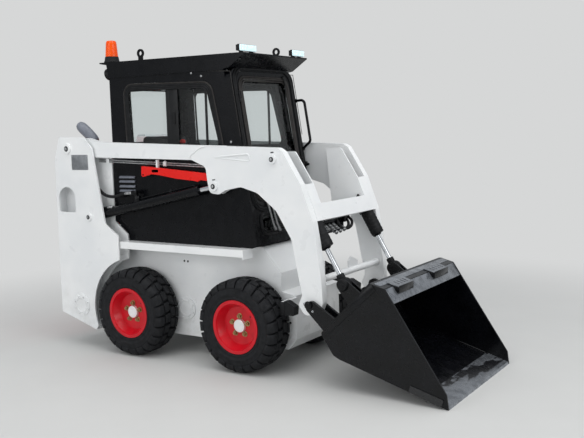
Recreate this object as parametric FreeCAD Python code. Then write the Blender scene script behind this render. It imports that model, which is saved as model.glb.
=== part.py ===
import FreeCAD, Part
import math
import os

# Compact skid steer loader, arms down and bucket tipped until its lip rests on the ground.
# X points forward, Y to the machine's left, Z up; millimetres.
# The origin is on the ground, half way along the whole length.

V = FreeCAD.Vector
os.makedirs("parts", exist_ok=True)

# Running fits and clearances
running_gap = 0.05
seat_gap = 0.3
side_gap = 1.5
panel_gap = 5.0
pivot_gap = 5.0
tyre_to_tub = 17.0
tyre_to_nose = 11.0

# Wheels and their stations
wheelbase = 886.0
front_axle_x = 97.0
rear_axle_x = front_axle_x - wheelbase
tyre_radius = 292.0
tyre_width = 216.0
bead_radius = 152.0
flange_radius = 167.0
rim_half_width = 98.0
rim_wall = 6.0
disc_radius = 118.0
disc_face = 42.0
hub_radius = 42.0
hub_face = 54.0
spindle_radius = 30.0
lug_height = 16.0
lug_half = 27.0
lug_slant = 28.0
lugs_a_side = 20
tyre_sides = 24

# Cab
cab_half_width = 350.0
cab_wall = 30.0
cab_floor_z = 760.3
cab_floor_thickness = 22.0
cab_top_z = 1850.0
roof_height = 107.0
cab_overhang = 196.0
cab_rear_x = rear_axle_x - cab_overhang
cab_step_x = cab_rear_x + 117
cab_step_z = 804.0
cab_kick_z = 892.0
front_foot = (188.0, 773.0)
front_lean = 8.87
front_frame_depth = 40.0
front_frame_height = (cab_top_z + 11.8 - front_foot[1]) / math.cos(math.radians(front_lean))
roof_half_width = cab_half_width + 7
roof_top_z = cab_top_z + roof_height
roof_rear_x = cab_rear_x - 77
visor_tip = (140.0, roof_top_z - 11)
glass_thickness = 6.0
glass_set_back = 12.0

# Windows
side_window_low = 1335.0
side_window_high = cab_top_z - 43
side_window_rear_x = cab_rear_x + 160
side_window_pillar = 128.0
rear_window_half = cab_half_width - 120
rear_window_low = 1400.0
rear_window_high = cab_top_z - 60
toe_window_half = cab_half_width - 80
toe_window_low = 66.0
toe_window_high = 196.0

# Front door, in the leaning front plane
door_half_width = cab_half_width - 56
door_low = 240.0
door_high = front_frame_height - 18
door_depth = 32.0
door_rail = 32.0
door_head = 46.0

# Lift arms, outside the cab
arm_inner_y = cab_half_width + 15
arm_beam_width = 50.0
arm_outer_y = arm_inner_y + arm_beam_width
arm_plate = 10.0
box_inner_y = arm_inner_y - 95
gusset_step = 5.0
recess_depth = 3.0
arm_pivot = (cab_rear_x - 347, 1385.0)
lift_pin = (-77.0, 1143.0)
tilt_top = (362.0, 1308.0)
bucket_pivot = (600.0, 468.0)
tilt_pin = (778.0, 585.0)
pivot_pin_radius = 25.0
cylinder_pin_radius = 18.0

# Track: the tyres stand outside the arms
tyre_outer_y = arm_outer_y + 80
wheel_y = tyre_outer_y - tyre_width / 2

# Uprights that carry the arms
upright_inner_y = arm_inner_y - 10
upright_outer_y = arm_outer_y + 22
upright_plate = 12.0
upright_web = 8.0
lift_base = (cab_rear_x - 169, 917.0)
wheel_arch_radius = 356.0
bay_inner_y = upright_inner_y - upright_plate

# Lower frame
tub_half_width = wheel_y - tyre_width / 2 - tyre_to_tub
tub_wall = 12.0
tub_floor_z = 130.0
sill_z = 760.0
sill_outer_y = arm_outer_y + 15
sill_front_x = 137.0
nose_x = front_axle_x + tyre_radius + tyre_to_nose
bay_front_x = cab_rear_x - 155
rear_x = cab_rear_x - 491
rear_low_z = 229.0
cover_radius = 78.0

# Engine and what closes its bay
engine_half_width = 190.0
engine_low_z = 250.0
engine_top_z = 780.0
hood_sheet = 8.0
hood_rear_z = 1285.0
hood_front_z = 1330.0
gate_sheet = 24.0
gate_low_z = 262.0
gate_high_z = 1182.0
hinge_radius = 6.0
stack_radius = 24.0
stack_at = (cab_rear_x - 280, -cab_half_width + 54)

# Hydraulic cylinders
lift_y = (arm_inner_y + arm_outer_y) / 2
lift_barrel_radius = 31.0
lift_rod_radius = 16.0
lift_rod_showing = 135.5
lift_retract = 2.0
tilt_y = (box_inner_y + arm_plate + arm_inner_y) / 2
tilt_barrel_radius = 28.0
tilt_rod_radius = 15.0
tilt_rod_showing = 238.0
tilt_retract = 140.0
barrel_wall = 6.0
gland_length = 40.0
piston_length = 40.0
eye_width = 28.0
eye_radius = 32.0

# Bucket and coupler
bucket_half_width = tyre_outer_y - 7
bucket_side = 10.0
bucket_sheet = 8.0
lip_x = 1476.0
coupler_half_width = arm_outer_y + 15


def outline(corners):
    # A closed outline of lines joined by tangent arcs; each corner is a point and its radius.
    count = len(corners)
    edges = []
    last = None
    first = None
    for index, (point, radius) in enumerate(corners):
        before = corners[index - 1][0]
        after = corners[(index + 1) % count][0]
        if radius > 0:
            back = (before - point).normalize()
            ahead = (after - point).normalize()
            half = math.acos(max(-1.0, min(1.0, back.dot(ahead)))) / 2
            run = radius / math.tan(half)
            start = point + back * run
            end = point + ahead * run
            middle = (back + ahead).normalize()
            centre = point + middle * (radius / math.sin(half))
            top = centre - middle * radius
            arc = Part.Arc(start, top, end).toShape()
        else:
            start = point
            end = point
            arc = None
        if last is None:
            first = start
        elif (start - last).Length > 1e-6:
            edges.append(Part.makeLine(last, start))
        if arc is not None:
            edges.append(arc)
        last = end
    if (first - last).Length > 1e-6:
        edges.append(Part.makeLine(last, first))
    return Part.Wire(edges)


def plate(rows, y_low, y_high):
    # A flat plate: rows are x, z, corner radius; it spans y_low to y_high.
    corners = [(V(row[0], y_low, row[1]), row[2] if len(row) > 2 else 0.0) for row in rows]
    face = Part.Face(outline(corners))
    return face.extrude(V(0, y_high - y_low, 0))


def turned(rows, start, heading):
    # A solid of revolution: rows are radius and distance from start along the heading.
    points = [V(radius, 0, distance) for radius, distance in rows]
    face = Part.Face(Part.makePolygon(points + [points[0]]))
    shape = face.revolve(V(0, 0, 0), V(0, 0, 1), 360)
    shape.Placement = FreeCAD.Placement(start, FreeCAD.Rotation(V(0, 0, 1), heading))
    return shape


def box(x_low, x_high, y_low, y_high, z_low, z_high):
    return Part.makeBox(x_high - x_low, y_high - y_low, z_high - z_low, V(x_low, y_low, z_low))


def rod(start, end, radius):
    return Part.makeCylinder(radius, (end - start).Length, start, end - start)


def post(x, y, z_low, z_high, radius):
    return rod(V(x, y, z_low), V(x, y, z_high), radius)


def cross_rod(at, y_low, y_high, radius):
    # A round bar along Y at a point of the side view.
    return rod(V(at[0], y_low, at[1]), V(at[0], y_high, at[1]), radius)


def pipe(corners, radius):
    # A round tube of straight runs and round bends; each corner is a point and its bend radius.
    pieces = []
    last = corners[0][0]
    for before, corner, after in zip(corners[:-2], corners[1:-1], corners[2:]):
        point, bend = corner
        back = (before[0] - point).normalize()
        ahead = (after[0] - point).normalize()
        half = math.acos(back.dot(ahead)) / 2
        start = point + back * (bend / math.tan(half))
        centre = point + (back + ahead).normalize() * (bend / math.sin(half))
        ring = Part.Face(Part.Wire(Part.makeCircle(radius, start, back)))
        pieces.append(rod(last, start, radius))
        pieces.append(ring.revolve(centre, ahead.cross(back), 180 - math.degrees(2 * half)))
        last = point + ahead * (bend / math.tan(half))
    pieces.append(rod(last, corners[-1][0], radius))
    return fused(pieces)


def mirrored(shape):
    return shape.mirror(V(0, 0, 0), V(0, 1, 0))


def both(shape):
    return [shape, mirrored(shape)]


def fused(shapes):
    body = shapes[0].multiFuse(shapes[1:]) if len(shapes) > 1 else shapes[0]
    return body.removeSplitter()


def save(name, shape):
    solids = shape.Solids
    out = solids[0] if len(solids) == 1 else Part.makeCompound(solids)
    out.exportStep("parts/" + name + ".step")
    print(name, len(solids), round(sum(s.Volume for s in solids) / 1e6, 3))


def along(start, end, distance):
    # A side-view point at a distance from start towards end.
    span = math.hypot(end[0] - start[0], end[1] - start[1])
    share = distance / span
    return (start[0] + (end[0] - start[0]) * share, start[1] + (end[1] - start[1]) * share)


def near(place, dx, dz, radius=0.0):
    # An outline corner measured from a named place of the side view.
    return (place[0] + dx, place[1] + dz, radius)


# Tyres: a many-sided carcass with two staggered rows of slanting lugs
def ring_points(flat_radius, offset):
    # Corners of one many-sided ring round the axle, given by the radius of its flats.
    reach = flat_radius / math.cos(math.pi / tyre_sides)
    turns = [2 * math.pi * (index + 0.5) / tyre_sides for index in range(tyre_sides + 1)]
    return [V(reach * math.cos(turn), offset, reach * math.sin(turn)) for turn in turns]


def flat_sided(rings):
    # A solid with one flat face between each pair of ring corners, closed from the last ring to the first.
    faces = []
    for low, high in zip(rings, rings[1:] + rings[:1]):
        for index in range(tyre_sides):
            faces.append(Part.Face(Part.makePolygon([low[index], low[index + 1], high[index + 1], high[index],
                                                     low[index]])))
    shell = Part.makeShell(faces)
    shell.sewShape()
    return Part.makeSolid(shell)


def tyre_lug(turn, side):
    outward = V(math.cos(turn), 0, math.sin(turn))
    around = V(-math.sin(turn), 0, math.cos(turn))
    crown = lug_half * 0.88
    top = math.sqrt(tyre_radius ** 2 - (crown + lug_slant / 2) ** 2)
    foot = tyre_radius - lug_height - 30
    corners = []
    for spot, height in ((-lug_half, foot), (lug_half, foot), (crown, top), (-crown, top)):
        corners.append(outward * height + around * (spot - lug_slant / 2) + V(0, side * 4, 0))
    face = Part.Face(Part.makePolygon(corners + [corners[0]]))
    return face.extrude(V(0, side * (tyre_width / 2 - 4), 0) + around * lug_slant - outward * 6)


def tyre_at_centre():
    tread = tyre_radius - lug_height
    half = tyre_width / 2
    bead = rim_half_width - rim_wall - seat_gap
    # columns: radius, distance from the centre plane
    section = [
        (bead_radius + seat_gap, bead), (flange_radius + 0.5, bead), (226, half - 3), (tread, half - 34),
    ]
    rows = [(radius, -offset) for radius, offset in section] + section[::-1]
    carcass = flat_sided([ring_points(radius, offset) for radius, offset in rows])
    pitch = 2 * math.pi / lugs_a_side
    lugs = []
    for index in range(lugs_a_side):
        lugs.append(tyre_lug(pitch * (index + 0.25), 1))
        lugs.append(tyre_lug(pitch * (index + 0.75), -1))
    return carcass.multiFuse(lugs)


# Rim: barrel with flanges, dished disc and closed hub in one turned piece
def rim_rows():
    inner = bead_radius - rim_wall
    lip = rim_half_width - rim_wall
    bore = spindle_radius + running_gap
    back = disc_face - 8
    # columns: radius, distance from the centre plane, outer side positive
    return [
        (flange_radius, rim_half_width), (inner, rim_half_width), (inner - 4, rim_half_width - 10),
        (disc_radius, disc_face), (hub_radius, disc_face), (hub_radius, hub_face), (0, hub_face),
        (0, hub_face - 8), (bore, hub_face - 8), (bore, -5), (hub_radius + 4, -5), (hub_radius + 4, back),
        (disc_radius + 4, back), (inner, rim_half_width - 16), (inner, -rim_half_width),
        (flange_radius, -rim_half_width), (flange_radius, -lip), (bead_radius, -lip), (bead_radius, lip),
        (flange_radius, lip),
    ]


wheel_stations = [
    ("front_right", front_axle_x, -1), ("front_left", front_axle_x, 1),
    ("rear_right", rear_axle_x, -1), ("rear_left", rear_axle_x, 1),
]
tyre = tyre_at_centre()
spindles = []
for name, axle_x, side in wheel_stations:
    centre = V(axle_x, side * wheel_y, tyre_radius)
    piece = tyre.copy() if side > 0 else mirrored(tyre)
    piece.translate(centre)
    save("tyre_" + name, piece)
    save("rim_" + name, turned(rim_rows(), centre, V(0, side, 0)))
    # columns: inner y, outer y, radius
    stub = fused([cross_rod((axle_x, tyre_radius), low, high, radius) for low, high, radius in (
        (tub_half_width, tub_half_width + 16, 92), (tub_half_width + 16, wheel_y - 6, 52),
        (wheel_y - 6, wheel_y + hub_face - 9, spindle_radius),
    )])
    spindles.append(stub if side > 0 else mirrored(stub))
# Axle housings: a flanged stub on the lower frame with the spindle that carries the wheel
save("axle_housings", Part.makeCompound(spindles))

# Lower frame: an open tub of plate with a sloped nose, and the engine bay behind it
tub_rows = [
    (bay_front_x, tub_floor_z), (nose_x - 60, tub_floor_z), (nose_x, tub_floor_z + 70), (nose_x, 470),
    (300, 490), (300, 607), (166, sill_z), (bay_front_x, sill_z),
]
hollow_rows = [
    (bay_front_x - 1, tub_floor_z + tub_wall), (nose_x - 66, tub_floor_z + tub_wall),
    (nose_x - tub_wall, tub_floor_z + 74), (nose_x - tub_wall, 460), (288, 480), (288, 602),
    (160, sill_z - 12), (160, sill_z + 1), (bay_front_x - 1, sill_z + 1),
]
tub = plate(tub_rows, -tub_half_width, tub_half_width)
tub = tub.cut(plate(hollow_rows, -tub_half_width + tub_wall, tub_half_width - tub_wall))
bay_parts = [tub]
bay_wing = box(bay_front_x - tub_wall, bay_front_x, tub_half_width - tub_wall, bay_inner_y, 150, sill_z)
bay_parts += both(bay_wing)
bay_floor = [
    (rear_x + 8, rear_low_z + 1), (bay_front_x, tub_floor_z), (bay_front_x, tub_floor_z + 10),
    (rear_x + 8, rear_low_z + 11),
]
bay_parts.append(plate(bay_floor, -bay_inner_y, bay_inner_y))
stop_x = nose_x + 14
bay_parts += both(box(nose_x - tub_wall, stop_x, tub_half_width - tub_wall, arm_outer_y, 390, 464))
tub_cover = cross_rod((rear_axle_x + 322, 315), tub_half_width, tub_half_width + 8, cover_radius)
bay_parts += both(tub_cover)
save("lower_frame", fused(bay_parts))

# Rubber stops for the lowered arms
stop_back = stop_x + seat_gap
stop = plate([(stop_back, 386), (482, 386, 8), (488, 440, 8), (stop_back + 16, 470, 6), (stop_back, 470)],
             arm_inner_y, arm_outer_y)
save("arm_stops", Part.makeCompound(both(stop)))

# Sill rails over the wheels
sill_rear_x = cab_step_x - 12.7
rail = fused([
    box(sill_rear_x, sill_front_x, tub_half_width, sill_outer_y, sill_z - 8, sill_z),
    box(sill_rear_x, sill_front_x, sill_outer_y - 6, sill_outer_y, sill_z - 46, sill_z),
    box(sill_rear_x, sill_front_x, sill_outer_y - 38, sill_outer_y - 6, sill_z - 30, sill_z - 24),
    box(sill_front_x - 8, sill_front_x, sill_outer_y - 100, sill_outer_y, sill_z - 60, sill_z),
])
save("sill_rails", Part.makeCompound(both(rail)))

# Uprights: outer and inner plates, a rear web and the pivot pins between them
outer_rows = [
    near(arm_pivot, -80, 83, 12), near(arm_pivot, 162, 76, 30), near(arm_pivot, 234, 0, 30),
    (cab_rear_x - 22, 873, 30), (cab_step_x - 24, 800, 10), (cab_step_x - 24, 560),
    (bay_front_x, tub_floor_z + 1), (rear_x, rear_low_z), (rear_x + 11, 1308, 20),
]
inner_rows = [
    near(arm_pivot, -80, 72, 12), near(arm_pivot, 90, 60), near(arm_pivot, 232, 10),
    (cab_rear_x - 11, 1385, 10), (cab_rear_x - 11, cab_kick_z - 4, 10), (cab_step_x - 13, 800, 10),
    (cab_step_x - 13, sill_z - 60),
    (cab_step_x - 24, 560), (bay_front_x, tub_floor_z + 1), (rear_x, rear_low_z), (rear_x + 11, 1308, 20),
]
inside_rows = [
    near(arm_pivot, -68, 115), (rear_x + 19, 1306, 14), (rear_x + upright_web, rear_low_z + 11),
    (bay_front_x, tub_floor_z + 13), (bay_front_x + 340, tub_floor_z + 13), (bay_front_x + 340, 1500),
]
arch_hole = [
    (rear_x + 32, 945, 12), (rear_x + 32, 1119, 78), (rear_x + 194, 1119, 78), (rear_x + 194, 945, 12),
]
wheel_arch = cross_rod((rear_axle_x, tyre_radius), -600, -200, wheel_arch_radius)
outer = plate(outer_rows, -upright_outer_y, -upright_outer_y + upright_plate)
outer = outer.cut(wheel_arch)
outer = outer.cut(plate(arch_hole, -upright_outer_y - 1, -upright_outer_y + upright_plate + 1))
inner = plate(inner_rows, -upright_inner_y, -bay_inner_y).cut(wheel_arch)
web = plate(outer_rows, -upright_outer_y + upright_plate, -upright_inner_y)
web = web.cut(plate(inside_rows, -upright_outer_y, -bay_inner_y))
pieces = [outer, inner, web]
for at, radius in ((arm_pivot, pivot_pin_radius), (lift_base, cylinder_pin_radius)):
    pieces.append(cross_rod(at, -upright_outer_y, -bay_inner_y, radius))
    pieces.append(cross_rod(at, -upright_outer_y - 12, -upright_outer_y, radius + 10))
pieces.append(cross_rod((rear_x + 204, 295), -upright_outer_y - 6, -upright_outer_y, cover_radius))
upright = fused(pieces)
save("upright_right", upright)
save("upright_left", mirrored(upright))

# Engine: one block at its place in the bay, on its sump
engine = fused([
    box(rear_x + 91, cab_rear_x + 55, -engine_half_width, engine_half_width, engine_low_z, engine_top_z),
    box(bay_front_x + 20, cab_rear_x + 35, -120, 120, tub_floor_z + tub_wall + seat_gap, engine_low_z),
])
save("engine", engine)

# Rear hood over the bay, with vents and the hole for the exhaust
hood_rows = [
    (rear_x + 10, gate_high_z + 8), (rear_x + 10, hood_rear_z, 40), (cab_rear_x - 2, hood_front_z),
    (cab_rear_x - 2, hood_front_z - hood_sheet - 2), (rear_x + 10 + hood_sheet, hood_rear_z - hood_sheet, 34),
    (rear_x + 10 + hood_sheet, gate_high_z + 8),
]
hood_half = bay_inner_y - seat_gap
hood = plate(hood_rows, -hood_half, hood_half)
vent_half = engine_half_width + 10
vents = []
for n in range(6):
    vent_x = rear_x + 76 + 60 * n
    vents.append(box(vent_x, vent_x + 28, -vent_half, vent_half, hood_rear_z - 35, hood_front_z + 20))
stack_hole = post(*stack_at, hood_rear_z - 85, hood_front_z + 70, stack_radius + seat_gap)
hood = hood.cut(Part.makeCompound(vents)).cut(stack_hole)
save("rear_hood", hood)

# Tailgate and its hinges
gate_half = bay_inner_y - panel_gap - 4
gate_x = rear_x + 20
gate_hinge = (rear_x + 13, bay_inner_y - 7.5)
gate = box(gate_x, gate_x + gate_sheet, -gate_half, gate_half, gate_low_z, gate_high_z)
slots = [box(gate_x - 4, gate_x + gate_sheet + 2, -220, 220, 620 + 70 * n, 650 + 70 * n) for n in range(6)]
gate_pieces = [gate.cut(Part.makeCompound(slots))]
gate_bores = []
frame_hinges = []
for z in (400.0, 1040.0):
    gate_pieces.append(post(*gate_hinge, z, z + 40, hinge_radius))
    gate_pieces.append(box(gate_hinge[0] - 3, gate_x + 2, gate_hinge[1] - 15, gate_hinge[1] - 4, z, z + 40))
    gate_bores.append(post(*gate_hinge, z - 15, z + 45, 3 + running_gap))
    frame_hinges.append(fused([
        post(*gate_hinge, z - 21, z - 1, hinge_radius), post(*gate_hinge, z - 11, z + 39, 3),
        box(gate_hinge[0] - 3, gate_hinge[0] + 3, gate_hinge[1], bay_inner_y, z - 21, z - 1),
    ]))
gate = fused(gate_pieces)
for bore in gate_bores:
    gate = gate.cut(bore)
save("tailgate", gate)
save("tailgate_hinges", Part.makeCompound(frame_hinges))

# Exhaust: a stack through the hood that ends in a slanting pod
pod_start = V(stack_at[0] + 48, stack_at[1], hood_front_z + 110)
pod_end = V(stack_at[0] - 90, stack_at[1], hood_front_z + 216)
pod_length = (pod_end - pod_start).Length
pod = turned([(0, 0), (24, 0), (37, 16), (38, 40), (38, pod_length - 24), (26, pod_length), (0, pod_length)],
             pod_start, pod_end - pod_start)
save("exhaust", fused([post(*stack_at, hood_rear_z + 5, hood_front_z + 145, stack_radius), pod]))


# Cab walls
def lean_x(z):
    # The front plane's x at a height.
    return front_foot[0] - math.tan(math.radians(front_lean)) * (z - front_foot[1])


frame_back = front_frame_depth / math.cos(math.radians(front_lean))
cab_inner_y = cab_half_width - cab_wall
floor_top = cab_floor_z + cab_floor_thickness
side_rows = [
    (cab_step_x, cab_floor_z), (cab_step_x, cab_step_z, 10), (cab_rear_x, cab_kick_z, 10),
    (cab_rear_x, cab_top_z), (lean_x(cab_top_z) - frame_back, cab_top_z),
    (lean_x(cab_floor_z) - frame_back, cab_floor_z),
]


def side_window(inset):
    # The side window's outline, drawn in by an inset.
    high = side_window_high - inset
    low = side_window_low + inset
    return [
        (side_window_rear_x + inset, high, 70),
        (lean_x(high) - side_window_pillar - 20 - inset, high - 17, 80),
        (lean_x(low) - side_window_pillar - inset, low, 60), (side_window_rear_x + 15 + inset, low, 60),
    ]


cab_side = plate(side_rows, -cab_half_width, -cab_inner_y)
cab_side = cab_side.cut(plate(side_window(0), -cab_half_width - 1, -cab_inner_y + 1))
save("cab_side_right", cab_side)
save("cab_side_left", mirrored(cab_side))

rear_wall = box(cab_rear_x, cab_rear_x + cab_wall, -cab_inner_y, cab_inner_y, cab_kick_z, cab_top_z)
kick_rows = [
    (cab_rear_x, cab_kick_z), (cab_step_x, cab_step_z), (cab_step_x, floor_top), (cab_step_x + 20, floor_top),
    (cab_step_x + 20, cab_step_z + 12), (cab_rear_x + cab_wall, cab_kick_z + 8),
    (cab_rear_x + cab_wall, cab_kick_z),
]
rear_wall = fused([rear_wall, plate(kick_rows, -cab_inner_y, cab_inner_y)])
rear_window = box(cab_rear_x - 1, cab_rear_x + cab_wall + 1, -rear_window_half, rear_window_half,
                  rear_window_low, rear_window_high)
save("cab_rear_wall", rear_wall.cut(rear_window))

floor_front_x = lean_x(floor_top) - frame_back - seat_gap
save("cab_floor", box(cab_step_x, floor_front_x, -cab_inner_y, cab_inner_y, cab_floor_z, floor_top))

# Roof with its front visor and rear lip
frame_top_x = lean_x(cab_top_z + 11.8)
roof_rows = [
    (roof_rear_x, roof_top_z), (visor_tip[0], visor_tip[1]), (visor_tip[0], visor_tip[1] - 8),
    (frame_top_x + 6, cab_top_z + 13), (frame_top_x - 39.7, cab_top_z + 5.8), (frame_top_x - 39.7, cab_top_z),
    (cab_rear_x, cab_top_z), (cab_rear_x - 15, roof_top_z - 19), (roof_rear_x, roof_top_z - 8),
]
roof = plate(roof_rows, -roof_half_width, roof_half_width)
roof = roof.cut(box(cab_rear_x + cab_wall, -60, -cab_inner_y, cab_inner_y, cab_top_z - 1, roof_top_z - 30))
save("cab_roof", roof)

# Lifting eyes, welded on the roof's right rear and left front
eye_hole = 14.0
eye_height = roof_top_z + 42
eyes = []
for x, y in ((cab_rear_x + 265, -cab_half_width + 30), (-80, cab_half_width - 30)):
    blade = fused([
        cross_rod((x, eye_height), y - 5, y + 5, 28),
        box(x - 18, x + 18, y - 5, y + 5, roof_top_z - 14, eye_height),
    ])
    eyes.append(blade.cut(cross_rod((x, eye_height), y - 6, y + 6, eye_hole)).cut(roof))
save("lifting_eyes", Part.makeCompound(eyes))


def on_front(shape):
    # Lean a piece modelled upright, with its outer face at x = 0 and foot at z = 0.
    piece = shape.copy()
    piece.rotate(V(0, 0, 0), V(0, 1, 0), -front_lean)
    piece.translate(V(front_foot[0], 0, front_foot[1]))
    return piece


def front_panel(rows, x_low, x_high):
    # A flat piece in the front plane: rows are y, height, corner radius.
    corners = [(V(x_low, row[0], row[1]), row[2]) for row in rows]
    face = Part.Face(outline(corners))
    return face.extrude(V(x_high - x_low, 0, 0))


def window_ring(half, low, high, radius):
    return [(-half, low, radius), (half, low, radius), (half, high, radius), (-half, high, radius)]


# Front frame with its low window, and the door's hinge halves
frame_rows = [
    (-cab_half_width, 0, 0), (cab_half_width, 0, 0), (cab_half_width, front_frame_height, 70),
    (-cab_half_width, front_frame_height, 70),
]
front = front_panel(frame_rows, -front_frame_depth, 0)
door_hole = window_ring(door_half_width + panel_gap, door_low - panel_gap, door_high + panel_gap, 84)
front = front.cut(front_panel(door_hole, -front_frame_depth - 1, 1))
toe_hole = window_ring(toe_window_half, toe_window_low, toe_window_high, 50)
front = front.cut(front_panel(toe_hole, -front_frame_depth - 1, 1))
hinge_x = 9.0
hinge_y = -door_half_width - panel_gap / 2
hinge_places = (door_low + 120, door_high - 170)


def hinge_bar(radius, low, high):
    return Part.makeCylinder(radius, high - low, V(hinge_x, hinge_y, low))


for low in hinge_places:
    front = front.fuse(hinge_bar(8, low - 21, low - 1)).fuse(hinge_bar(3, low - 5, low + 45))
    front = front.fuse(box(-4, 12, hinge_y - 14, hinge_y, low - 21, low - 1))
save("cab_front_frame", on_front(front.removeSplitter()))

# Front door and its glass
door = front_panel(window_ring(door_half_width, door_low, door_high, 80), -door_depth, 0)
glass_half = door_half_width - door_rail
pane_low = door_low + door_head
pane_high = door_high - door_head
door = door.cut(front_panel(window_ring(glass_half, pane_low, pane_high, 60), -door_depth - 1, 1))
for low in hinge_places:
    door = door.fuse(hinge_bar(8, low, low + 44))
    door = door.fuse(box(-4, 12, hinge_y + 2.5, hinge_y + 16, low, low + 44))
for low in hinge_places:
    door = door.cut(hinge_bar(3 + running_gap, low - 5, low + 50))
save("front_door", on_front(door.removeSplitter()))
pane = front_panel(window_ring(glass_half - seat_gap, pane_low + seat_gap, pane_high - seat_gap, 60),
                   -glass_thickness - glass_set_back, -glass_set_back)
save("front_door_glass", on_front(pane))

# Fixed glass: sides, rear and the low front pane
pane_y = -cab_half_width + glass_set_back
panes = both(plate(side_window(seat_gap), pane_y, pane_y + glass_thickness))
pane_x = cab_rear_x + glass_set_back
panes.append(box(pane_x, pane_x + glass_thickness, -rear_window_half + seat_gap, rear_window_half - seat_gap,
                 rear_window_low + seat_gap, rear_window_high - seat_gap))
toe_rows = window_ring(toe_window_half - seat_gap, toe_window_low + seat_gap, toe_window_high - seat_gap, 50)
panes.append(on_front(front_panel(toe_rows, -glass_thickness - glass_set_back, -glass_set_back)))
save("cab_glass", Part.makeCompound(panes))

# Seat and levers
seat_x = cab_rear_x + 105
cushion_z = floor_top + 148
seat = [
    box(seat_x + 120, seat_x + 460, -180, 180, floor_top + seat_gap, cushion_z),
    plate([(seat_x + 80, cushion_z), (seat_x + 560, cushion_z, 30), (seat_x + 560, cushion_z + 85, 40),
           (seat_x + 140, cushion_z + 70)], -230, 230),
    plate([(seat_x + 80, cushion_z), (seat_x + 180, cushion_z), (seat_x + 135, cushion_z + 70),
           (seat_x + 80, cushion_z + 550, 40), (seat_x, cushion_z + 550, 40), (seat_x + 20, cushion_z + 30)],
          -215, 215),
]
save("seat", fused(seat))
levers = []
for side in (-1, 1):
    levers.append(fused([
        box(-95, -25, side * 190 - 35, side * 190 + 35, floor_top + seat_gap, floor_top + 30),
        rod(V(-62, side * 190, floor_top + 20), V(-140, side * 200, 1230), 11),
        rod(V(-138, side * 200, 1215), V(-146, side * 202, 1330), 20),
    ]))
save("control_levers", Part.makeCompound(levers))

# Roof lamps and beacon
lamp_z = visor_tip[1] + 6
lamp_y = roof_half_width - 81
lamp = fused([
    box(visor_tip[0] - 56, visor_tip[0] - 6, lamp_y - 78, lamp_y + 78, lamp_z, lamp_z + 44),
    post(visor_tip[0] - 34, lamp_y - 51, visor_tip[1] - 6, lamp_z + 4, 9),
    post(visor_tip[0] - 34, lamp_y + 51, visor_tip[1] - 6, lamp_z + 4, 9),
])
save("work_lamps", Part.makeCompound([side.cut(roof) for side in both(lamp)]))
beacon_rows = [(0, 0), (52, 0), (52, 36), (46, 36), (43, 118), (34, 138), (16, 148), (0, 148)]
save("beacon", turned(beacon_rows, V(cab_rear_x - 25, -cab_half_width + 60, roof_top_z), V(0, 0, 1)))

# Grab handle beside the door
handle_y = cab_half_width - 14
handle_stand = 74.0
handle_low = 578.0
handle_high = 903.0
handle = fused([
    pipe([(V(8, handle_y, handle_high), 0), (V(handle_stand, handle_y, handle_high - 6), 28),
          (V(handle_stand, handle_y, handle_low + 40), 28), (V(8, handle_y, handle_low), 0)], 9),
    rod(V(seat_gap, handle_y, handle_high), V(14, handle_y, handle_high), 13),
    rod(V(seat_gap, handle_y, handle_low), V(14, handle_y, handle_low), 13),
])
save("grab_handle", on_front(handle))

# Lift arms
arm_rows = [
    near(arm_pivot, 0, 70), near(arm_pivot, 162, 70, 30), near(arm_pivot, 276, 42, 60), (398, 1375, 45),
    (434, 1352, 20), (553, 1162, 30), (629, 952, 30), (651, 822, 60), (675, 629, 60), (683, 480, 30),
    (655, 408, 45), (560, 398, 40), (517, 455, 10), (545, 520, 40), (519, 635, 80), (481, 839, 90),
    (378, 1006, 90), (246, 1109, 90), (124, 1143, 90),
    near(lift_pin, 85, -23, 40), near(lift_pin, 37, -49, 40), near(lift_pin, -38, -43, 40),
    near(lift_pin, -51, 37, 20), near(lift_pin, -61, 119, 40),
    near(lift_pin, -168, 162, 60), near(arm_pivot, 232, -61, 20), near(arm_pivot, 0, -70),
]
beam = plate(arm_rows, -arm_outer_y, -arm_inner_y)
step_rows = [
    near(arm_pivot, -90, 200), near(lift_pin, 20, 400), near(lift_pin, -70, 225, 60),
    near(lift_pin, -180, 188, 20), near(lift_pin, -150, 100), near(arm_pivot, -90, -90),
]
beam = beam.cut(plate(step_rows, -arm_outer_y - 1, -arm_outer_y + gusset_step))
recess_rows = [near(lift_pin, -12, 178, 2), near(lift_pin, 273, 150, 14), near(lift_pin, 273, 190, 14)]
beam = beam.cut(plate(recess_rows, -arm_outer_y - 1, -arm_outer_y + recess_depth))
hub = cross_rod(arm_pivot, -arm_outer_y, -arm_inner_y, 70)
inner_plate_rows = [
    (322, 1349, 12), (436, 1349, 20), (553, 1162, 30), (600, 1046), (632, 950), (600, 946), (358, 994, 30),
]
inner_plate = plate(inner_plate_rows, -box_inner_y - arm_plate, -box_inner_y)
cover_rows = [(553, 1162), (600, 1046), (632, 950), (622, 947), (590, 1042), (543, 1158)]
cover = plate(cover_rows, -arm_inner_y, -box_inner_y - arm_plate)
arm = [beam, hub, inner_plate, cover]
arm.append(cross_rod(tilt_top, -arm_outer_y - 12, -arm_outer_y, 28))
arm.append(cross_rod(tilt_top, -arm_inner_y, -box_inner_y, cylinder_pin_radius))
arm.append(cross_rod(lift_pin, -arm_outer_y - 12, -arm_outer_y, 30))
arm = fused(arm)
for at, radius in ((arm_pivot, pivot_pin_radius), (bucket_pivot, cylinder_pin_radius)):
    arm = arm.cut(cross_rod(at, -arm_outer_y - 50, -arm_inner_y + 50, radius + running_gap))
pocket_half = max(eye_width / 2, lift_rod_radius) + side_gap
pocket_rows = [near(lift_pin, -143, -103), near(lift_pin, 43, -103, 30), near(lift_pin, 43, 41, 30),
               near(lift_pin, -143, 41)]
arm = arm.cut(plate(pocket_rows, -lift_y - pocket_half, -lift_y + pocket_half))
save("lift_arm_right", arm)
save("lift_arm_left", mirrored(arm))

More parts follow.
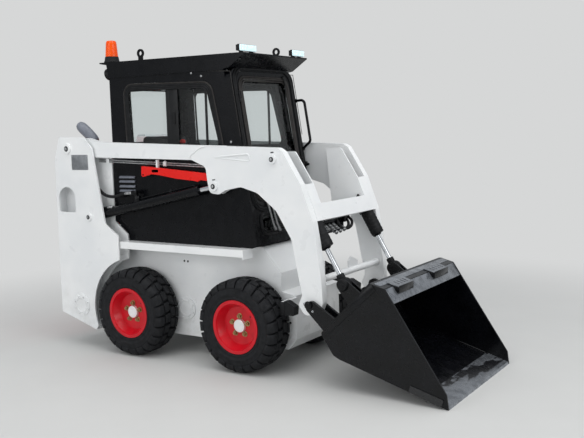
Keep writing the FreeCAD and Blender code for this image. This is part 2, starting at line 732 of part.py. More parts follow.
# Cross pieces between the arms
cross_rows = [(600, 1046), (632, 950), (575, 931), (543, 1027)]
save("arm_crossmember", plate(cross_rows, -box_inner_y, box_inner_y))
tube_at = (628, 602)
cross_tube = cross_rod(tube_at, -arm_inner_y, arm_inner_y, 21)
# columns: y, height over the tube
tab_rows = [(-9, 12), (105, 12), (105, 53), (22, 86), (-9, 62)]
tab_corners = [(V(tube_at[0] - 5, y, tube_at[1] + height), 0) for y, height in tab_rows]
tab = Part.Face(outline(tab_corners)).extrude(V(10, 0, 0))
save("arm_cross_tube", fused([cross_tube, tab]))

# Safety strut stored under the right arm
strut_rows = [
    (-690, 1290, 6), (-640, 1284), (-640, 1313.7), (-604, 1312.9), (-604, 1279), (-180, 1212), (-180, 1176),
    (-560, 1240), (-640, 1228), (-684, 1226, 6),
]
strut = plate(strut_rows, -lift_y - 12, -lift_y + 20)
slot_rows = [(-600, 1263, 6), (-540, 1255, 6), (-540, 1239, 6), (-600, 1247, 6)]
strut_slot = plate(slot_rows, -lift_y - 20, -lift_y + 30)
save("safety_strut", strut.cut(strut_slot))


# Hydraulic cylinders, from the base pin to the rod's eye
def cylinder(base, tip, y, showing, retract, barrel_radius, rod_radius):
    # Barrel and rod of one cylinder in the plane at y; showing is the rod between gland and eye pin.
    reach = math.hypot(tip[0] - base[0], tip[1] - base[1])
    barrel_length = reach - showing
    pin = cylinder_pin_radius

    def at(distance):
        x, z = along(base, tip, distance)
        return V(x, y, z)

    bore = barrel_radius - barrel_wall
    half = min(barrel_radius, 30.0)
    shell = rod(at(pin), at(barrel_length), barrel_radius).fuse(cross_rod(base, y - half, y + half, pin + 14))
    shell = shell.cut(rod(at(pin + 34), at(barrel_length - gland_length), bore))
    gland = barrel_length - gland_length
    shell = shell.cut(rod(at(gland - 1), at(barrel_length + 1), rod_radius + running_gap))
    shell = shell.cut(cross_rod(base, y - 60, y + 60, pin + running_gap))
    tail = pin + 42 + retract
    bar = rod(at(tail), at(reach - eye_radius * 0.6), rod_radius)
    piston = rod(at(tail), at(tail + piston_length), bore - running_gap)
    eye = cross_rod(tip, y - eye_width / 2, y + eye_width / 2, eye_radius)
    return shell, fused([bar, piston, eye])


for label, side in (("right", -1), ("left", 1)):
    for kind, base, tip, y, showing, retract, barrel_radius, rod_radius in (
        ("lift", lift_base, lift_pin, lift_y, lift_rod_showing, lift_retract, lift_barrel_radius,
         lift_rod_radius),
        ("tilt", tilt_top, tilt_pin, tilt_y, tilt_rod_showing, tilt_retract, tilt_barrel_radius,
         tilt_rod_radius),
    ):
        barrel, ram = cylinder(base, tip, side * y, showing, retract, barrel_radius, rod_radius)
        save(kind + "_barrel_" + label, barrel)
        save(kind + "_rod_" + label, ram)

# Coupler, measured along and out from the bucket's back
back_foot = (706.0, 326.0)
back_head = (1021.0, 638.0)
back_length = math.hypot(back_head[0] - back_foot[0], back_head[1] - back_foot[1])
back_u = ((back_head[0] - back_foot[0]) / back_length, (back_head[1] - back_foot[1]) / back_length)


def behind(run, out, radius=0.0):
    # A side-view point at a run up the bucket's back and a distance out behind it.
    x = back_foot[0] + run * back_u[0] - out * back_u[1]
    z = back_foot[1] + run * back_u[1] + out * back_u[0]
    return (x, z, radius)


coupler = [plate([behind(-8, 0), behind(300, 0), behind(300, 12), behind(-8, 12)], -coupler_half_width,
                 coupler_half_width)]
coupler.append(cross_rod(behind(10, 36), -arm_inner_y + 15, arm_inner_y - 15, 25))
coupler.append(cross_rod(behind(276, 34), -box_inner_y, box_inner_y, 23))
ear_rows = [behind(-6, 6), behind(100, 6), behind(58, 190, 34), behind(-10, 190, 34)]
coupler += both(plate(ear_rows, arm_outer_y + pivot_gap, arm_outer_y + pivot_gap + 18))
coupler += both(plate(ear_rows, arm_inner_y - pivot_gap - 17, arm_inner_y - pivot_gap))
coupler += both(cross_rod(bucket_pivot, arm_inner_y - 20, arm_outer_y + 30, cylinder_pin_radius))
eye_half = max(eye_width / 2, tilt_rod_radius) + side_gap
horn_rows = [behind(170, 6), behind(290, 6), behind(266, 168, 34), behind(200, 168, 34)]
coupler += both(plate(horn_rows, tilt_y - eye_half - 12, tilt_y - eye_half))
coupler += both(plate(horn_rows, tilt_y + eye_half, tilt_y + eye_half + 10))
coupler = fused(coupler)
eye_slot = plate([behind(130, -1), behind(301, -1), behind(301, 40), behind(130, 40)], tilt_y - eye_half,
                 tilt_y + eye_half)
for cut in both(eye_slot):
    coupler = coupler.cut(cut)
save("coupler", coupler)

# Bucket: bent sheet, side plates, top bar, cutting edge, wear plates and step plates
inside_y = bucket_half_width - bucket_side
shell_rows = [
    (1330, 42.2), (822, 190, 60), (786, 208, 40), (706, 326, 20), (1021, 638), (1114, 615), (1112, 606),
    (1024, 628), (718, 325, 14), (796, 213, 32), (827, 197.5, 50), (1332.2, 50.2),
]
side_plate_rows = [
    (lip_x, 0), (822, 190, 60), (786, 208, 40), (706, 326, 20), (1021, 638, 12), (1114, 615, 20),
    (lip_x - 10, 78, 10),
]
top_bar_rows = [(1020, 629.5), (1112, 606), (1100, 568), (1000, 598)]
shell = [plate(shell_rows, -inside_y, inside_y), plate(top_bar_rows, -inside_y, inside_y)]
shell += both(plate(side_plate_rows, inside_y, bucket_half_width))
save("bucket_shell", fused(shell))
edge = plate([(lip_x, 0), (1330.4, 42.1), (1334.4, 56), (lip_x - 6, 15)], -inside_y, inside_y)
wear_rows = [(lip_x - 40, 13), (1250, 67), (1262, 104), (lip_x - 24, 52, 8)]
wear_plates = both(plate(wear_rows, bucket_half_width, bucket_half_width + 6))
save("cutting_edge", Part.makeCompound([edge] + wear_plates))
step_rows = [(1012, 641), (1160, 604.5), (1162, 610.5), (1013.5, 647)]
tread = plate(step_rows, 150, 400)
holes = [Part.makeCylinder(9, 80, V(1046 + 34 * row, 190 + 57 * column, 590)) for row in range(3)
         for column in range(4)]
tread = tread.cut(Part.makeCompound(holes))
save("bucket_step_plates", Part.makeCompound(both(tread)))
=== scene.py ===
# %% [markdown]
# # A compact skid steer loader, dressed for its portrait
# The machine's plates, wheels, cab and bucket come from the CAD model, which this lesson loads as a
# fixed frame. Here each of them gets a finish, and the fastenings, hoses, seals and trim are modelled.

import math

import bpy
from mathutils import Matrix, Vector


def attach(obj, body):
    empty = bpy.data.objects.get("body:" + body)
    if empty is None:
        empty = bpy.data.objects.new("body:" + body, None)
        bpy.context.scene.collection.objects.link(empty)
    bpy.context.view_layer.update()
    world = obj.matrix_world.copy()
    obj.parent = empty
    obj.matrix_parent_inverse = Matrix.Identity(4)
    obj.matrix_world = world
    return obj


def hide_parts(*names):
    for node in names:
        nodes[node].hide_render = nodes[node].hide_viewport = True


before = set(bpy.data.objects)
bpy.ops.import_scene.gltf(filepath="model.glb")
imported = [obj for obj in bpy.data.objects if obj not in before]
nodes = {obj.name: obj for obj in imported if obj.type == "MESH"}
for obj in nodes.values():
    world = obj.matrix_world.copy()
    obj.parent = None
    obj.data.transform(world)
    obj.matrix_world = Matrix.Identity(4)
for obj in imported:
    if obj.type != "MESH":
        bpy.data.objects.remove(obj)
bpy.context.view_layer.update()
MM = 0.001
print("CAD nodes:", len(nodes))

# %% [markdown]
# ## Helpers for a maker's everyday moves
# Sizes are written in millimetres, as on a drawing. Each helper adds a primitive, shapes it, and
# applies its place, so that every finished piece sits at the origin with its place in its mesh.


# %% Start clean and name a piece
def fresh():
    if bpy.context.object and bpy.context.object.mode != "OBJECT":
        bpy.ops.object.mode_set(mode="OBJECT")
    bpy.ops.object.select_all(action="DESELECT")


def only(piece):
    fresh()
    piece.select_set(True)
    bpy.context.view_layer.objects.active = piece
    return piece


def named(name):
    piece = bpy.context.active_object
    piece.name = name
    piece.data.name = name
    bpy.ops.object.transform_apply(location=True, rotation=True, scale=True)
    return piece


def point(x, y, z):
    return Vector((x, y, z)) * MM


# %% Apply a modifier, and round the edges of a piece
def reshaped(piece, kind, **settings):
    only(piece)
    modifier = piece.modifiers.new(kind.lower(), kind)
    for key, value in settings.items():
        setattr(modifier, key, value)
    bpy.ops.object.modifier_apply(modifier=modifier.name)
    return piece


def soften(piece, width, segments=2, angle=30):
    return reshaped(piece, "BEVEL", width=width * MM, segments=segments, limit_method="ANGLE",
                    angle_limit=math.radians(angle), harden_normals=False)


# %% Enter edit mode with all selected, and leave it with every face turned outward
weld_distance = 0.00002


def open_edit():
    bpy.ops.object.mode_set(mode="EDIT")
    bpy.ops.mesh.select_all(action="SELECT")


def close_edit():
    bpy.ops.mesh.select_all(action="SELECT")
    bpy.ops.mesh.normals_make_consistent(inside=False)
    bpy.ops.object.mode_set(mode="OBJECT")


def recalculate(piece):
    only(piece)
    open_edit()
    bpy.ops.mesh.remove_doubles(threshold=weld_distance)
    close_edit()
    return piece


# %% Blocks, drums and flat outlines
def slab(name, low, high, edge=1.0):
    fresh()
    low, high = point(*low), point(*high)
    bpy.ops.mesh.primitive_cube_add(size=1, location=(low + high) / 2, scale=high - low)
    piece = named(name)
    return soften(piece, edge) if edge else piece


def drum(name, start, end, radius, sides=32, edge=0.6, tip=None):
    fresh()
    start, end = point(*start), point(*end)
    turn = (end - start).to_track_quat("Z", "Y").to_euler()
    tip = radius if tip is None else tip
    bpy.ops.mesh.primitive_cone_add(
        vertices=sides, radius1=radius * MM, radius2=tip * MM, depth=(end - start).length,
        location=(start + end) / 2, rotation=turn)
    piece = named(name)
    return soften(piece, edge) if edge else piece


def outline(name, corners, push, edge=1.0):
    # Corners are 3D points in mm round one flat face; push is the thickness as a vector in mm.
    fresh()
    bpy.ops.mesh.primitive_circle_add(vertices=len(corners), radius=1, fill_type="NGON")
    piece = bpy.context.active_object
    for vertex, corner in zip(piece.data.vertices, corners):
        vertex.co = point(*corner)
    open_edit()
    bpy.ops.mesh.extrude_region_move(TRANSFORM_OT_translate={"value": point(*push)})
    close_edit()
    named(name)
    return soften(piece, edge) if edge else piece


def side_plate(name, rows, y_low, y_high, edge=1.0):
    return outline(name, [(x, y_low, z) for x, z in rows], (0, y_high - y_low, 0), edge)


def cut_out(piece, cutters):
    cutter = joined("cutters", cutters)
    reshaped(piece, "BOOLEAN", operation="DIFFERENCE", object=cutter)
    bpy.data.objects.remove(cutter)
    return piece


# %% Turned parts, spun from a profile of radius and height
def turned(name, profile, centre, direction, steps=48):
    fresh()
    bpy.ops.mesh.primitive_circle_add(vertices=len(profile), radius=1, fill_type="NOTHING")
    piece = bpy.context.active_object
    for vertex, (radius, height) in zip(piece.data.vertices, profile):
        vertex.co = point(radius, 0, height)
    open_edit()
    bpy.ops.mesh.spin(steps=steps, angle=2 * math.pi, center=(0, 0, 0), axis=(0, 0, 1))
    bpy.ops.mesh.select_all(action="SELECT")
    bpy.ops.mesh.remove_doubles(threshold=weld_distance)
    bpy.ops.mesh.dissolve_degenerate(threshold=weld_distance / 2)
    bpy.ops.mesh.delete_loose()
    close_edit()
    piece.rotation_euler = Vector(direction).to_track_quat("Z", "Y").to_euler()
    piece.location = point(*centre)
    return named(name)


# %% Hoses, pipes and closed strips along a route
def laid(route, radius, kind, fineness):
    fresh()
    bpy.ops.curve.primitive_nurbs_path_add()
    curve = bpy.context.active_object.data
    curve.splines.clear()
    spline = curve.splines.new(kind)
    spline.points.add(len(route) - 1)
    for knot, place in zip(spline.points, route):
        knot.co = (*point(*place), 1)
    curve.bevel_depth = radius * MM
    curve.bevel_resolution = fineness
    return curve, spline


def hose(name, route, radius, smooth=True):
    curve, spline = laid(route, radius, "NURBS" if smooth else "POLY", 4)
    if smooth:
        spline.order_u = 3
        spline.use_endpoint_u = True
        spline.resolution_u = 8
    curve.use_fill_caps = True
    bpy.ops.object.convert(target="MESH")
    return named(name)


def loop(name, route, radius):
    curve, spline = laid(route, radius, "POLY", 3)
    spline.use_cyclic_u = True
    bpy.ops.object.convert(target="MESH")
    return named(name)


# %% Copies, each with its own mesh
def moved(piece, name, shift=None, turn=None, flip=False):
    copy = piece.copy()
    copy.data = piece.data.copy()
    copy.name = name
    copy.data.name = name
    bpy.context.scene.collection.objects.link(copy)
    if turn is not None:
        copy.data.transform(turn)
    if shift is not None:
        copy.data.transform(Matrix.Translation(point(*shift)))
    if flip:
        copy.data.transform(Matrix.Scale(-1, 4, (0, 1, 0)))
        recalculate(copy)
    return copy


def joined(name, pieces):
    fresh()
    for piece in pieces:
        piece.select_set(True)
    bpy.context.view_layer.objects.active = pieces[0]
    if len(pieces) > 1:
        bpy.ops.object.join()
    result = bpy.context.active_object
    result.name = name
    result.data.name = name
    return result


# %% [markdown]
# ## Finishes
# Each finish starts from what the real surface is and how it was made. Colours are written as they
# look on a screen and turned to linear light by one function.


# %% Colour and node helpers
def linear(text):
    parts = [int(text[index:index + 2], 16) / 255 for index in (1, 3, 5)]
    return [part / 12.92 if part <= 0.04045 else ((part + 0.055) / 1.055) ** 2.4 for part in parts] + [1.0]


def add(tree, kind, settings, links=None):
    node = tree.nodes.new(kind)
    for key, value in settings.items():
        if isinstance(key, int) or key in node.inputs:
            node.inputs[key].default_value = value
        else:
            setattr(node, key, value)
    for key, source in (links or {}).items():
        tree.links.new(source, node.inputs[key])
    return node


def finish(name, settings):
    material = bpy.data.materials.new(name)
    material.use_nodes = True
    tree = material.node_tree
    tree.nodes.clear()
    shader = add(tree, "ShaderNodeBsdfPrincipled", settings)
    add(tree, "ShaderNodeOutputMaterial", {}, {"Surface": shader.outputs[0]})
    place = add(tree, "ShaderNodeTexCoord", {}).outputs["Object"]
    return material, (tree, shader, place)


def mottled(paint, light, dark, cell_mm, spread=(0.35, 0.65)):
    # Two close shades of one colour, clouded over cells of a real size.
    tree, shader, place = paint
    cloud = add(tree, "ShaderNodeTexNoise", {"Scale": 1000 / cell_mm, "Detail": 3.0}, {"Vector": place})
    ramp = add(tree, "ShaderNodeMapRange", {"From Min": spread[0], "From Max": spread[1]},
               {"Value": cloud.outputs[0]})
    mix = add(tree, "ShaderNodeMix", {"data_type": "RGBA", 6: linear(light), 7: linear(dark)},
              {0: ramp.outputs[0]})
    tree.links.new(mix.outputs[2], shader.inputs["Base Color"])
    return mix


def uneven_gloss(paint, low, high, cell_mm):
    tree, shader, place = paint
    cloud = add(tree, "ShaderNodeTexNoise", {"Scale": 1000 / cell_mm, "Detail": 4.0}, {"Vector": place})
    ramp = add(tree, "ShaderNodeMapRange", {"From Min": 0.3, "From Max": 0.7, "To Min": low,
                                            "To Max": high},
               {"Value": cloud.outputs[0]})
    tree.links.new(ramp.outputs[0], shader.inputs["Roughness"])


def skin(paint, grain_mm, height_mm, edge_mm=0.0):
    # A fine bump of a real grain size, over edges rounded as paint and wear leave them.
    tree, shader, place = paint
    grain = add(tree, "ShaderNodeTexNoise", {"Scale": 1000 / grain_mm, "Detail": 2.0}, {"Vector": place})
    bump = add(tree, "ShaderNodeBump", {"Strength": 0.5, "Distance": height_mm * MM},
               {"Height": grain.outputs[0]})
    if edge_mm:
        edge = add(tree, "ShaderNodeBevel", {"samples": 4, "Radius": edge_mm * MM})
        tree.links.new(edge.outputs[0], bump.inputs["Normal"])
    tree.links.new(bump.outputs[0], shader.inputs["Normal"])


def sheen(level, coat=0.0, coat_roughness=0.03):
    return {"IOR": 1.5, "Specular IOR Level": level, "Coat Weight": coat, "Coat Roughness": coat_roughness}


def coated(name, settings, shades, gloss, grain=None):
    # The usual finish: mottled shades, an uneven gloss and the grain of its skin.
    material, paint = finish(name, settings)
    mottled(paint, *shades)
    uneven_gloss(paint, *gloss)
    if grain:
        skin(paint, *grain)
    return material


# %% [markdown]
# Steel plate is sprayed with white enamel: an even, glossy coat with a faint orange peel of about
# 2 mm cells, soft edges where the paint draws over the cut, and road dust low down.

# %% White enamel
white_enamel, paint = finish("white_enamel_on_steel", {
    "Roughness": 0.3, "Coat Weight": 0.35, "Coat Roughness": 0.12, "IOR": 1.5})
shades = mottled(paint, "#F6F7F7", "#EEF0F1", 260)
tree, shader, place = paint
height = add(tree, "ShaderNodeSeparateXYZ", {}, {0: place})
low_band = add(tree, "ShaderNodeMapRange", {"From Min": 0.55, "From Max": 0.12, "To Min": 0.0,
                                            "To Max": 0.3},
               {"Value": height.outputs[2]})
cloud = add(tree, "ShaderNodeTexNoise", {"Scale": 9.0, "Detail": 6.0, "Roughness": 0.65}, {"Vector": place})
cloud_edge = add(tree, "ShaderNodeMapRange", {"From Min": 0.45, "From Max": 0.75},
                 {"Value": cloud.outputs[0]})
dust = add(tree, "ShaderNodeMath", {"operation": "MULTIPLY"},
           {0: low_band.outputs[0], 1: cloud_edge.outputs[0]})
dusty = add(tree, "ShaderNodeMix", {"data_type": "RGBA", 7: linear("#9C968C")},
            {0: dust.outputs[0], 6: shades.outputs[2]})
tree.links.new(dusty.outputs[2], shader.inputs["Base Color"])
uneven_gloss(paint, 0.26, 0.36, 90)
skin(paint, 2.2, 0.02, 2.0)

# %% [markdown]
# The cab and bucket are black enamel over welded sheet. It is darker and glossier than rubber, and
# shows broad soft highlights where the sheet bends. The bucket's coat is scuffed and wet.

# %% Black enamels
black_enamel = coated("black_enamel_on_steel", sheen(0.16, 0.1, 0.06), ("#090A0E", "#050609", 180),
                      (0.2, 0.34, 60), (2.5, 0.02, 2.0))
bucket_enamel = coated("black_enamel_scuffed", sheen(0.22, 0.12, 0.08), ("#0C0D11", "#060709", 120),
                       (0.16, 0.36, 45), (3.0, 0.04, 2.0))

# %% [markdown]
# The safety strut and the rear covers are signal red enamel. The wheels are a deeper red, and both
# keep the thin bright line that a lamp draws along a rolled edge.

# %% Red enamels
strut_red = coated("signal_red_enamel", sheen(0.3, 0.15, 0.1), ("#F01E14", "#E6180F", 120),
                   (0.26, 0.36, 50), (2.2, 0.02, 1.5))
wheel_red = coated("wheel_red_enamel", sheen(0.3, 0.2, 0.12), ("#D40A20", "#C4081C", 70),
                   (0.28, 0.42, 40), (2.0, 0.02, 1.5))

# %% [markdown]
# Tyre rubber is carbon black in a hard compound: nearly black, with a dry sheen and a pebbled skin of
# about 3 mm, in two close shades clouded over 35 mm cells. Extruded seals weather to a warm grey brown
# and keep a soft sheen along their lips.

# %% Rubbers
tyre_rubber = coated("tyre_rubber", sheen(0.25), ("#1B1C1F", "#121315", 35, (0.4, 0.7)), (0.55, 0.8, 25),
                     (3.0, 0.25))
moulded_rubber = coated("moulded_rubber", sheen(0.25), ("#17181A", "#0F1012", 60), (0.45, 0.65, 30),
                        (2.0, 0.05))
weathered_seal = coated("weathered_seal_rubber", sheen(0.35), ("#2E2B29", "#211E1D", 40), (0.35, 0.5, 30),
                        (2.0, 0.05))

# %% [markdown]
# Piston rods are ground and hard chromed, so they mirror the sky. Fittings are zinc plated, a dull
# silver; the wheel nuts are passivated as well, which leaves a yellow cast.

# %% Bare and plated metals
hard_chrome, paint = finish("hard_chrome", {"Metallic": 1.0, "Base Color": linear("#DADDE0")})
uneven_gloss(paint, 0.08, 0.16, 30)
zinc_plate = coated("zinc_plate", {"Metallic": 1.0}, ("#C2C3C4", "#9C9D9F", 12), (0.28, 0.45, 10))
yellow_zinc = coated("yellow_zinc_plate", {"Metallic": 1.0}, ("#BFA877", "#8C7A5A", 10), (0.3, 0.45, 10))
# Bright steel: real wear on the step plates, but painted light on the bucket's brow and top strip.
worn_steel_and_painted_light = coated("worn_bucket_steel_and_painted_light", {"Metallic": 0.6, "Coat Weight": 0.4, "Coat Roughness": 0.15},
                    ("#8B8F95", "#5C6066", 55, (0.4, 0.72)), (0.18, 0.4, 30), (6.0, 0.15, 1.0))
brushed_plate = coated("brushed_aluminium", {"Metallic": 0.7}, ("#96999C", "#85888C", 40), (0.38, 0.5, 20))
engine_iron = coated("painted_cast_iron", {"Metallic": 0.1}, ("#3A3D40", "#26282A", 50), (0.5, 0.7, 30),
                     (4.0, 0.3))
grey_heatproof = coated("grey_heatproof_paint", {"IOR": 1.5}, ("#7C808A", "#6E727C", 60), (0.35, 0.5, 30),
                        (2.0, 0.03))

# %% [markdown]
# The cutting edge is worn bright along its front. Black paint is left on it in patches, and on the
# plates at its two ends.

# %% Worn cutting edge
end_plate_y = 0.481
lip_x = 1.465
worn_lip, paint = finish("worn_cutting_edge", {"Coat Weight": 0.3, "Coat Roughness": 0.15})
bright = mottled(paint, "#94989E", "#6C7076", 55, (0.4, 0.72))
tree, shader, place = paint
axes = add(tree, "ShaderNodeSeparateXYZ", {}, {0: place})
from_middle = add(tree, "ShaderNodeMath", {"operation": "ABSOLUTE"}, {0: axes.outputs[1]})
ends = add(tree, "ShaderNodeMath", {"operation": "GREATER_THAN", 1: end_plate_y},
           {0: from_middle.outputs[0]})
drawn_out = add(tree, "ShaderNodeMapping", {"Scale": (2.0, 0.55, 1.0)}, {"Vector": place})
patches = add(tree, "ShaderNodeTexNoise", {"Scale": 4.2, "Detail": 4.0, "Roughness": 0.6},
              {"Vector": drawn_out.outputs[0]})
edges = add(tree, "ShaderNodeMapRange", {"From Min": 0.5, "From Max": 0.56}, {"Value": patches.outputs[0]})
inland = add(tree, "ShaderNodeMapRange", {"From Min": lip_x, "From Max": lip_x - 0.025},
             {"Value": axes.outputs[0]})
left_on = add(tree, "ShaderNodeMath", {"operation": "MULTIPLY"},
              {0: edges.outputs[0], 1: inland.outputs[0]})
painted = add(tree, "ShaderNodeMath", {"operation": "MAXIMUM"}, {0: left_on.outputs[0], 1: ends.outputs[0]})
both = add(tree, "ShaderNodeMix", {"data_type": "RGBA", 7: linear("#0D0E12")},
           {0: painted.outputs[0], 6: bright.outputs[2]})
tree.links.new(both.outputs[2], shader.inputs["Base Color"])
bare = add(tree, "ShaderNodeMath", {"operation": "SUBTRACT", 0: 0.75}, {1: painted.outputs[0]})
bare.use_clamp = True
tree.links.new(bare.outputs[0], shader.inputs["Metallic"])
uneven_gloss(paint, 0.18, 0.36, 30)
skin(paint, 6.0, 0.12, 1.0)

# %% Plastics, vinyl, lenses and glass
black_plastic = coated("black_moulded_plastic", sheen(0.3), ("#131416", "#0D0E10", 50), (0.4, 0.55, 20),
                       (1.6, 0.05))
seat_vinyl = coated("grained_black_vinyl", sheen(0.25), ("#0F0F11", "#0A0A0B", 80), (0.45, 0.6, 20),
                    (3.0, 0.3))
# The beacon's faint orange emission is a painted glow, standing for daylight shining through the amber
# dome.
amber_lens_painted_glow, paint = finish("amber_acrylic_painted_glow", {
    "Roughness": 0.2, "Transmission Weight": 0.25, "IOR": 1.49, "Specular IOR Level": 0.3,
    "Emission Color": linear("#FF5400"), "Emission Strength": 0.15})
mottled(paint, "#F46000", "#E85000", 20)
skin(paint, 6.0, 0.6)
# The clear lens's pale emission is a painted glow, standing for bright reflections in the reflectors behind
# it.
lamp_lens_painted_glow, paint = finish("clear_lamp_acrylic_painted_glow", {
    "Roughness": 0.12, "IOR": 1.49, "Coat Weight": 0.6, "Emission Color": linear("#CFEFF6"),
    "Emission Strength": 0.55})
mottled(paint, "#E4F2F5", "#B4D2DA", 14)
safety_glass, paint = finish("clear_safety_glass", {
    "Base Color": linear("#F0F4F4"), "Roughness": 0.02, "Transmission Weight": 1.0, "IOR": 1.3})

# %% [markdown]
# ## Dressing the CAD nodes
# The plates already have their true shape, so they only get a finish. Names say which is which.

# %% Finishes on the CAD nodes
finishes = {
    white_enamel: ["lower_frame", "upright_right", "upright_left", "sill_rails", "lift_arm_right",
                   "lift_arm_left",
                   "arm_crossmember", "arm_cross_tube"],
    black_enamel: ["lifting_eyes", "cab_side_right", "cab_side_left", "cab_rear_wall", "cab_floor",
                   "cab_roof", "cab_front_frame",
                   "front_door", "grab_handle", "tailgate_hinges", "axle_housings",
                   "lift_barrel_right", "lift_barrel_left", "tilt_barrel_right", "tilt_barrel_left"],
    bucket_enamel: ["coupler", "bucket_shell", "bucket_step_plates"],
    strut_red: ["safety_strut", "rear_hood", "tailgate"],
    wheel_red: ["rim_front_right", "rim_front_left", "rim_rear_right", "rim_rear_left"],
    tyre_rubber: ["tyre_front_right", "tyre_front_left", "tyre_rear_right", "tyre_rear_left"],
    moulded_rubber: ["arm_stops"],
    hard_chrome: ["lift_rod_right", "lift_rod_left", "tilt_rod_right", "tilt_rod_left"],
    worn_lip: ["cutting_edge"],
    engine_iron: ["engine"],
    grey_heatproof: ["exhaust"],
    seat_vinyl: ["seat"],
    black_plastic: ["control_levers", "work_lamps"],
    amber_lens_painted_glow: ["beacon"],
    safety_glass: ["cab_glass", "front_door_glass"],
}
for material, names in finishes.items():
    for name in names:
        for holder in nodes[name].material_slots:
            holder.material = material
print("dressed:", sum(len(names) for names in finishes.values()))

# %% [markdown]
# ## Ways to fit a piece
# A fitted piece gets its finish, its smooth shading and the body that carries it in one move. What
# stands on both sides is made for the right and mirrored for the left.


# %% Fit one piece, or a right piece with its left twin
def fit(piece, material, body, smooth=35):
    piece.data.materials.clear()
    piece.data.materials.append(material)
    only(piece)
    bpy.ops.object.shade_smooth_by_angle(angle=math.radians(smooth))
    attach(piece, body)
    return piece


def fit_pair(piece, material, body, smooth=35):
    twin = moved(piece, piece.name.replace("right", "left"), flip=True)
    fit(piece, material, body, smooth)
    fit(twin, material, body.replace("right", "left"), smooth)
    return piece, twin


# %% Rounded outlines and bolts
def rounded(rows, steps=6):
    # Each row is two coordinates and a corner radius; the corner becomes a run of short edges.
    result = []
    for index, (a, b, radius) in enumerate(rows):
        corner = Vector((a, b))
        if radius == 0:
            result.append((a, b))
            continue
        back = (Vector(rows[index - 1][:2]) - corner).normalized()
        ahead = (Vector(rows[(index + 1) % len(rows)][:2]) - corner).normalized()
        half = back.angle(ahead) / 2
        centre = corner + (back + ahead).normalized() * (radius / math.sin(half))
        start = corner + back * (radius / math.tan(half)) - centre
        end = corner + ahead * (radius / math.tan(half)) - centre
        for step in range(steps + 1):
            spoke = start.slerp(end, step / steps).normalized() * radius
            result.append((centre.x + spoke.x, centre.y + spoke.y))
    return result


def bolt(name, centre, direction, across=16.0, height=8.0, washer=1.25):
    # A hexagon head on its washer, standing on a face.
    start = Vector(centre)
    heading = Vector(direction).normalized()
    ring = drum(name + "_washer", start, start + heading * 2, across * washer / 2 * 1.15, 20, 0.5)
    head = drum(name, start + heading * 2, start + heading * (2 + height), across * 0.577, 6, 0.8)
    return joined(name, [head, ring])


# %% [markdown]
# ## Tyres
# A skid steer tyre has a smooth sidewall with moulded rings and two staggered rows of heavy blocks
# that wrap over the shoulder. The carcass is spun from its section. One block is extruded from a
# small grid, wrapped over the shoulder, bevelled, and copied round both sides.

# %% Tyre sizes in millimetres
front_axle_x = 97.0
rear_axle_x = -789.0
wheel_y = 387.0
tyre_radius = 292.0
wrap_radius = 285.0
blocks_a_side = 24
tyre_phase = 0.11
carcass_half = [
    (152.3, 91.7), (167.4, 91.7), (170, 96.5), (177, 100.5), (183, 101), (186, 99), (200, 101.5),
    (204, 104.5),
    (209, 104.5), (213, 102.5), (228, 104.5), (238, 103), (250, 96), (261, 84), (268, 66), (271, 40),
    (272, 0),
]

# %% Tread blocks: one on the crown and one over the shoulder
crown_block = ([(3, 292), (22, 292), (47, 291)], [(3, 262), (22, 262), (50, 260)], 0)
shoulder_block = ([(55, 290.5), (74, 287.5), (91, 279), (102, 264), (107.6, 246)],
                  [(52, 262), (64, 256), (78, 249), (90, 242), (97, 236)], 5)


def tread_block(name, sections):
    top_line, foot_line, swing = sections
    spans = len(top_line) - 1
    fresh()
    bpy.ops.mesh.primitive_grid_add(x_subdivisions=1, y_subdivisions=spans, size=2)
    block = bpy.context.active_object
    open_edit()
    bpy.ops.mesh.extrude_region_move(TRANSFORM_OT_translate={"value": (0, 0, -1)})
    close_edit()
    for vertex in block.data.vertices:
        step = round((vertex.co.y + 1) / 2 * spans)
        line = top_line if vertex.co.z > -0.5 else foot_line
        offset, radius = line[step]
        half = 27 + offset * 0.045 + (4 if vertex.co.z < -0.5 else 0)
        turn = (vertex.co.x * half + (offset - 50) * 0.2 + swing) / wrap_radius
        vertex.co = point(radius * math.sin(turn), offset, radius * math.cos(turn))
    named(name)
    recalculate(block)
    return soften(block, 2.4, 1, 40)


carcass = turned("tyre_carcass", carcass_half + [(radius, -offset) for radius,
                                                 offset in carcass_half[-2::-1]],
                 (0, 0, 0), (0, 1, 0), 96)
block = joined("tread_blocks", [tread_block("crown_block", crown_block),
                                tread_block("shoulder_block", shoulder_block)])
print("tread block faces:", len(block.data.polygons))

# %% Both rows of blocks on one tyre, then four tyres
rows = [carcass]
far_block = moved(block, "far_block", flip=True)
for index in range(blocks_a_side):
    pitch = 2 * math.pi / blocks_a_side
    rows.append(moved(block, "block", turn=Matrix.Rotation(pitch * index, 4, "Y")))
    rows.append(moved(far_block, "block", turn=Matrix.Rotation(pitch * (index + 0.5), 4, "Y")))
bpy.data.objects.remove(block)
bpy.data.objects.remove(far_block)
tyre = joined("tyre_at_centre", rows)
stations = [("front_right", front_axle_x, -1), ("front_left", front_axle_x, 1),
            ("rear_right", rear_axle_x, -1),
            ("rear_left", rear_axle_x, 1)]
for index, (station, axle_x, side) in enumerate(stations):
    turn = Matrix.Rotation(tyre_phase * index, 4, "Y")
    piece = moved(tyre, "treaded_tyre_" + station, shift=(axle_x, side * wheel_y, tyre_radius), turn=turn)
    fit(piece, tyre_rubber, "wheel_" + station, 40)
    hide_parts("tyre_" + station)
print("tyre faces:", len(tyre.data.polygons))
bpy.data.objects.remove(tyre)

# %% [markdown]
# Each wheel is held by five zinc plated nuts on long studs. A white pressed cap closes the hub, and
# the tyre's valve stands near the flange.

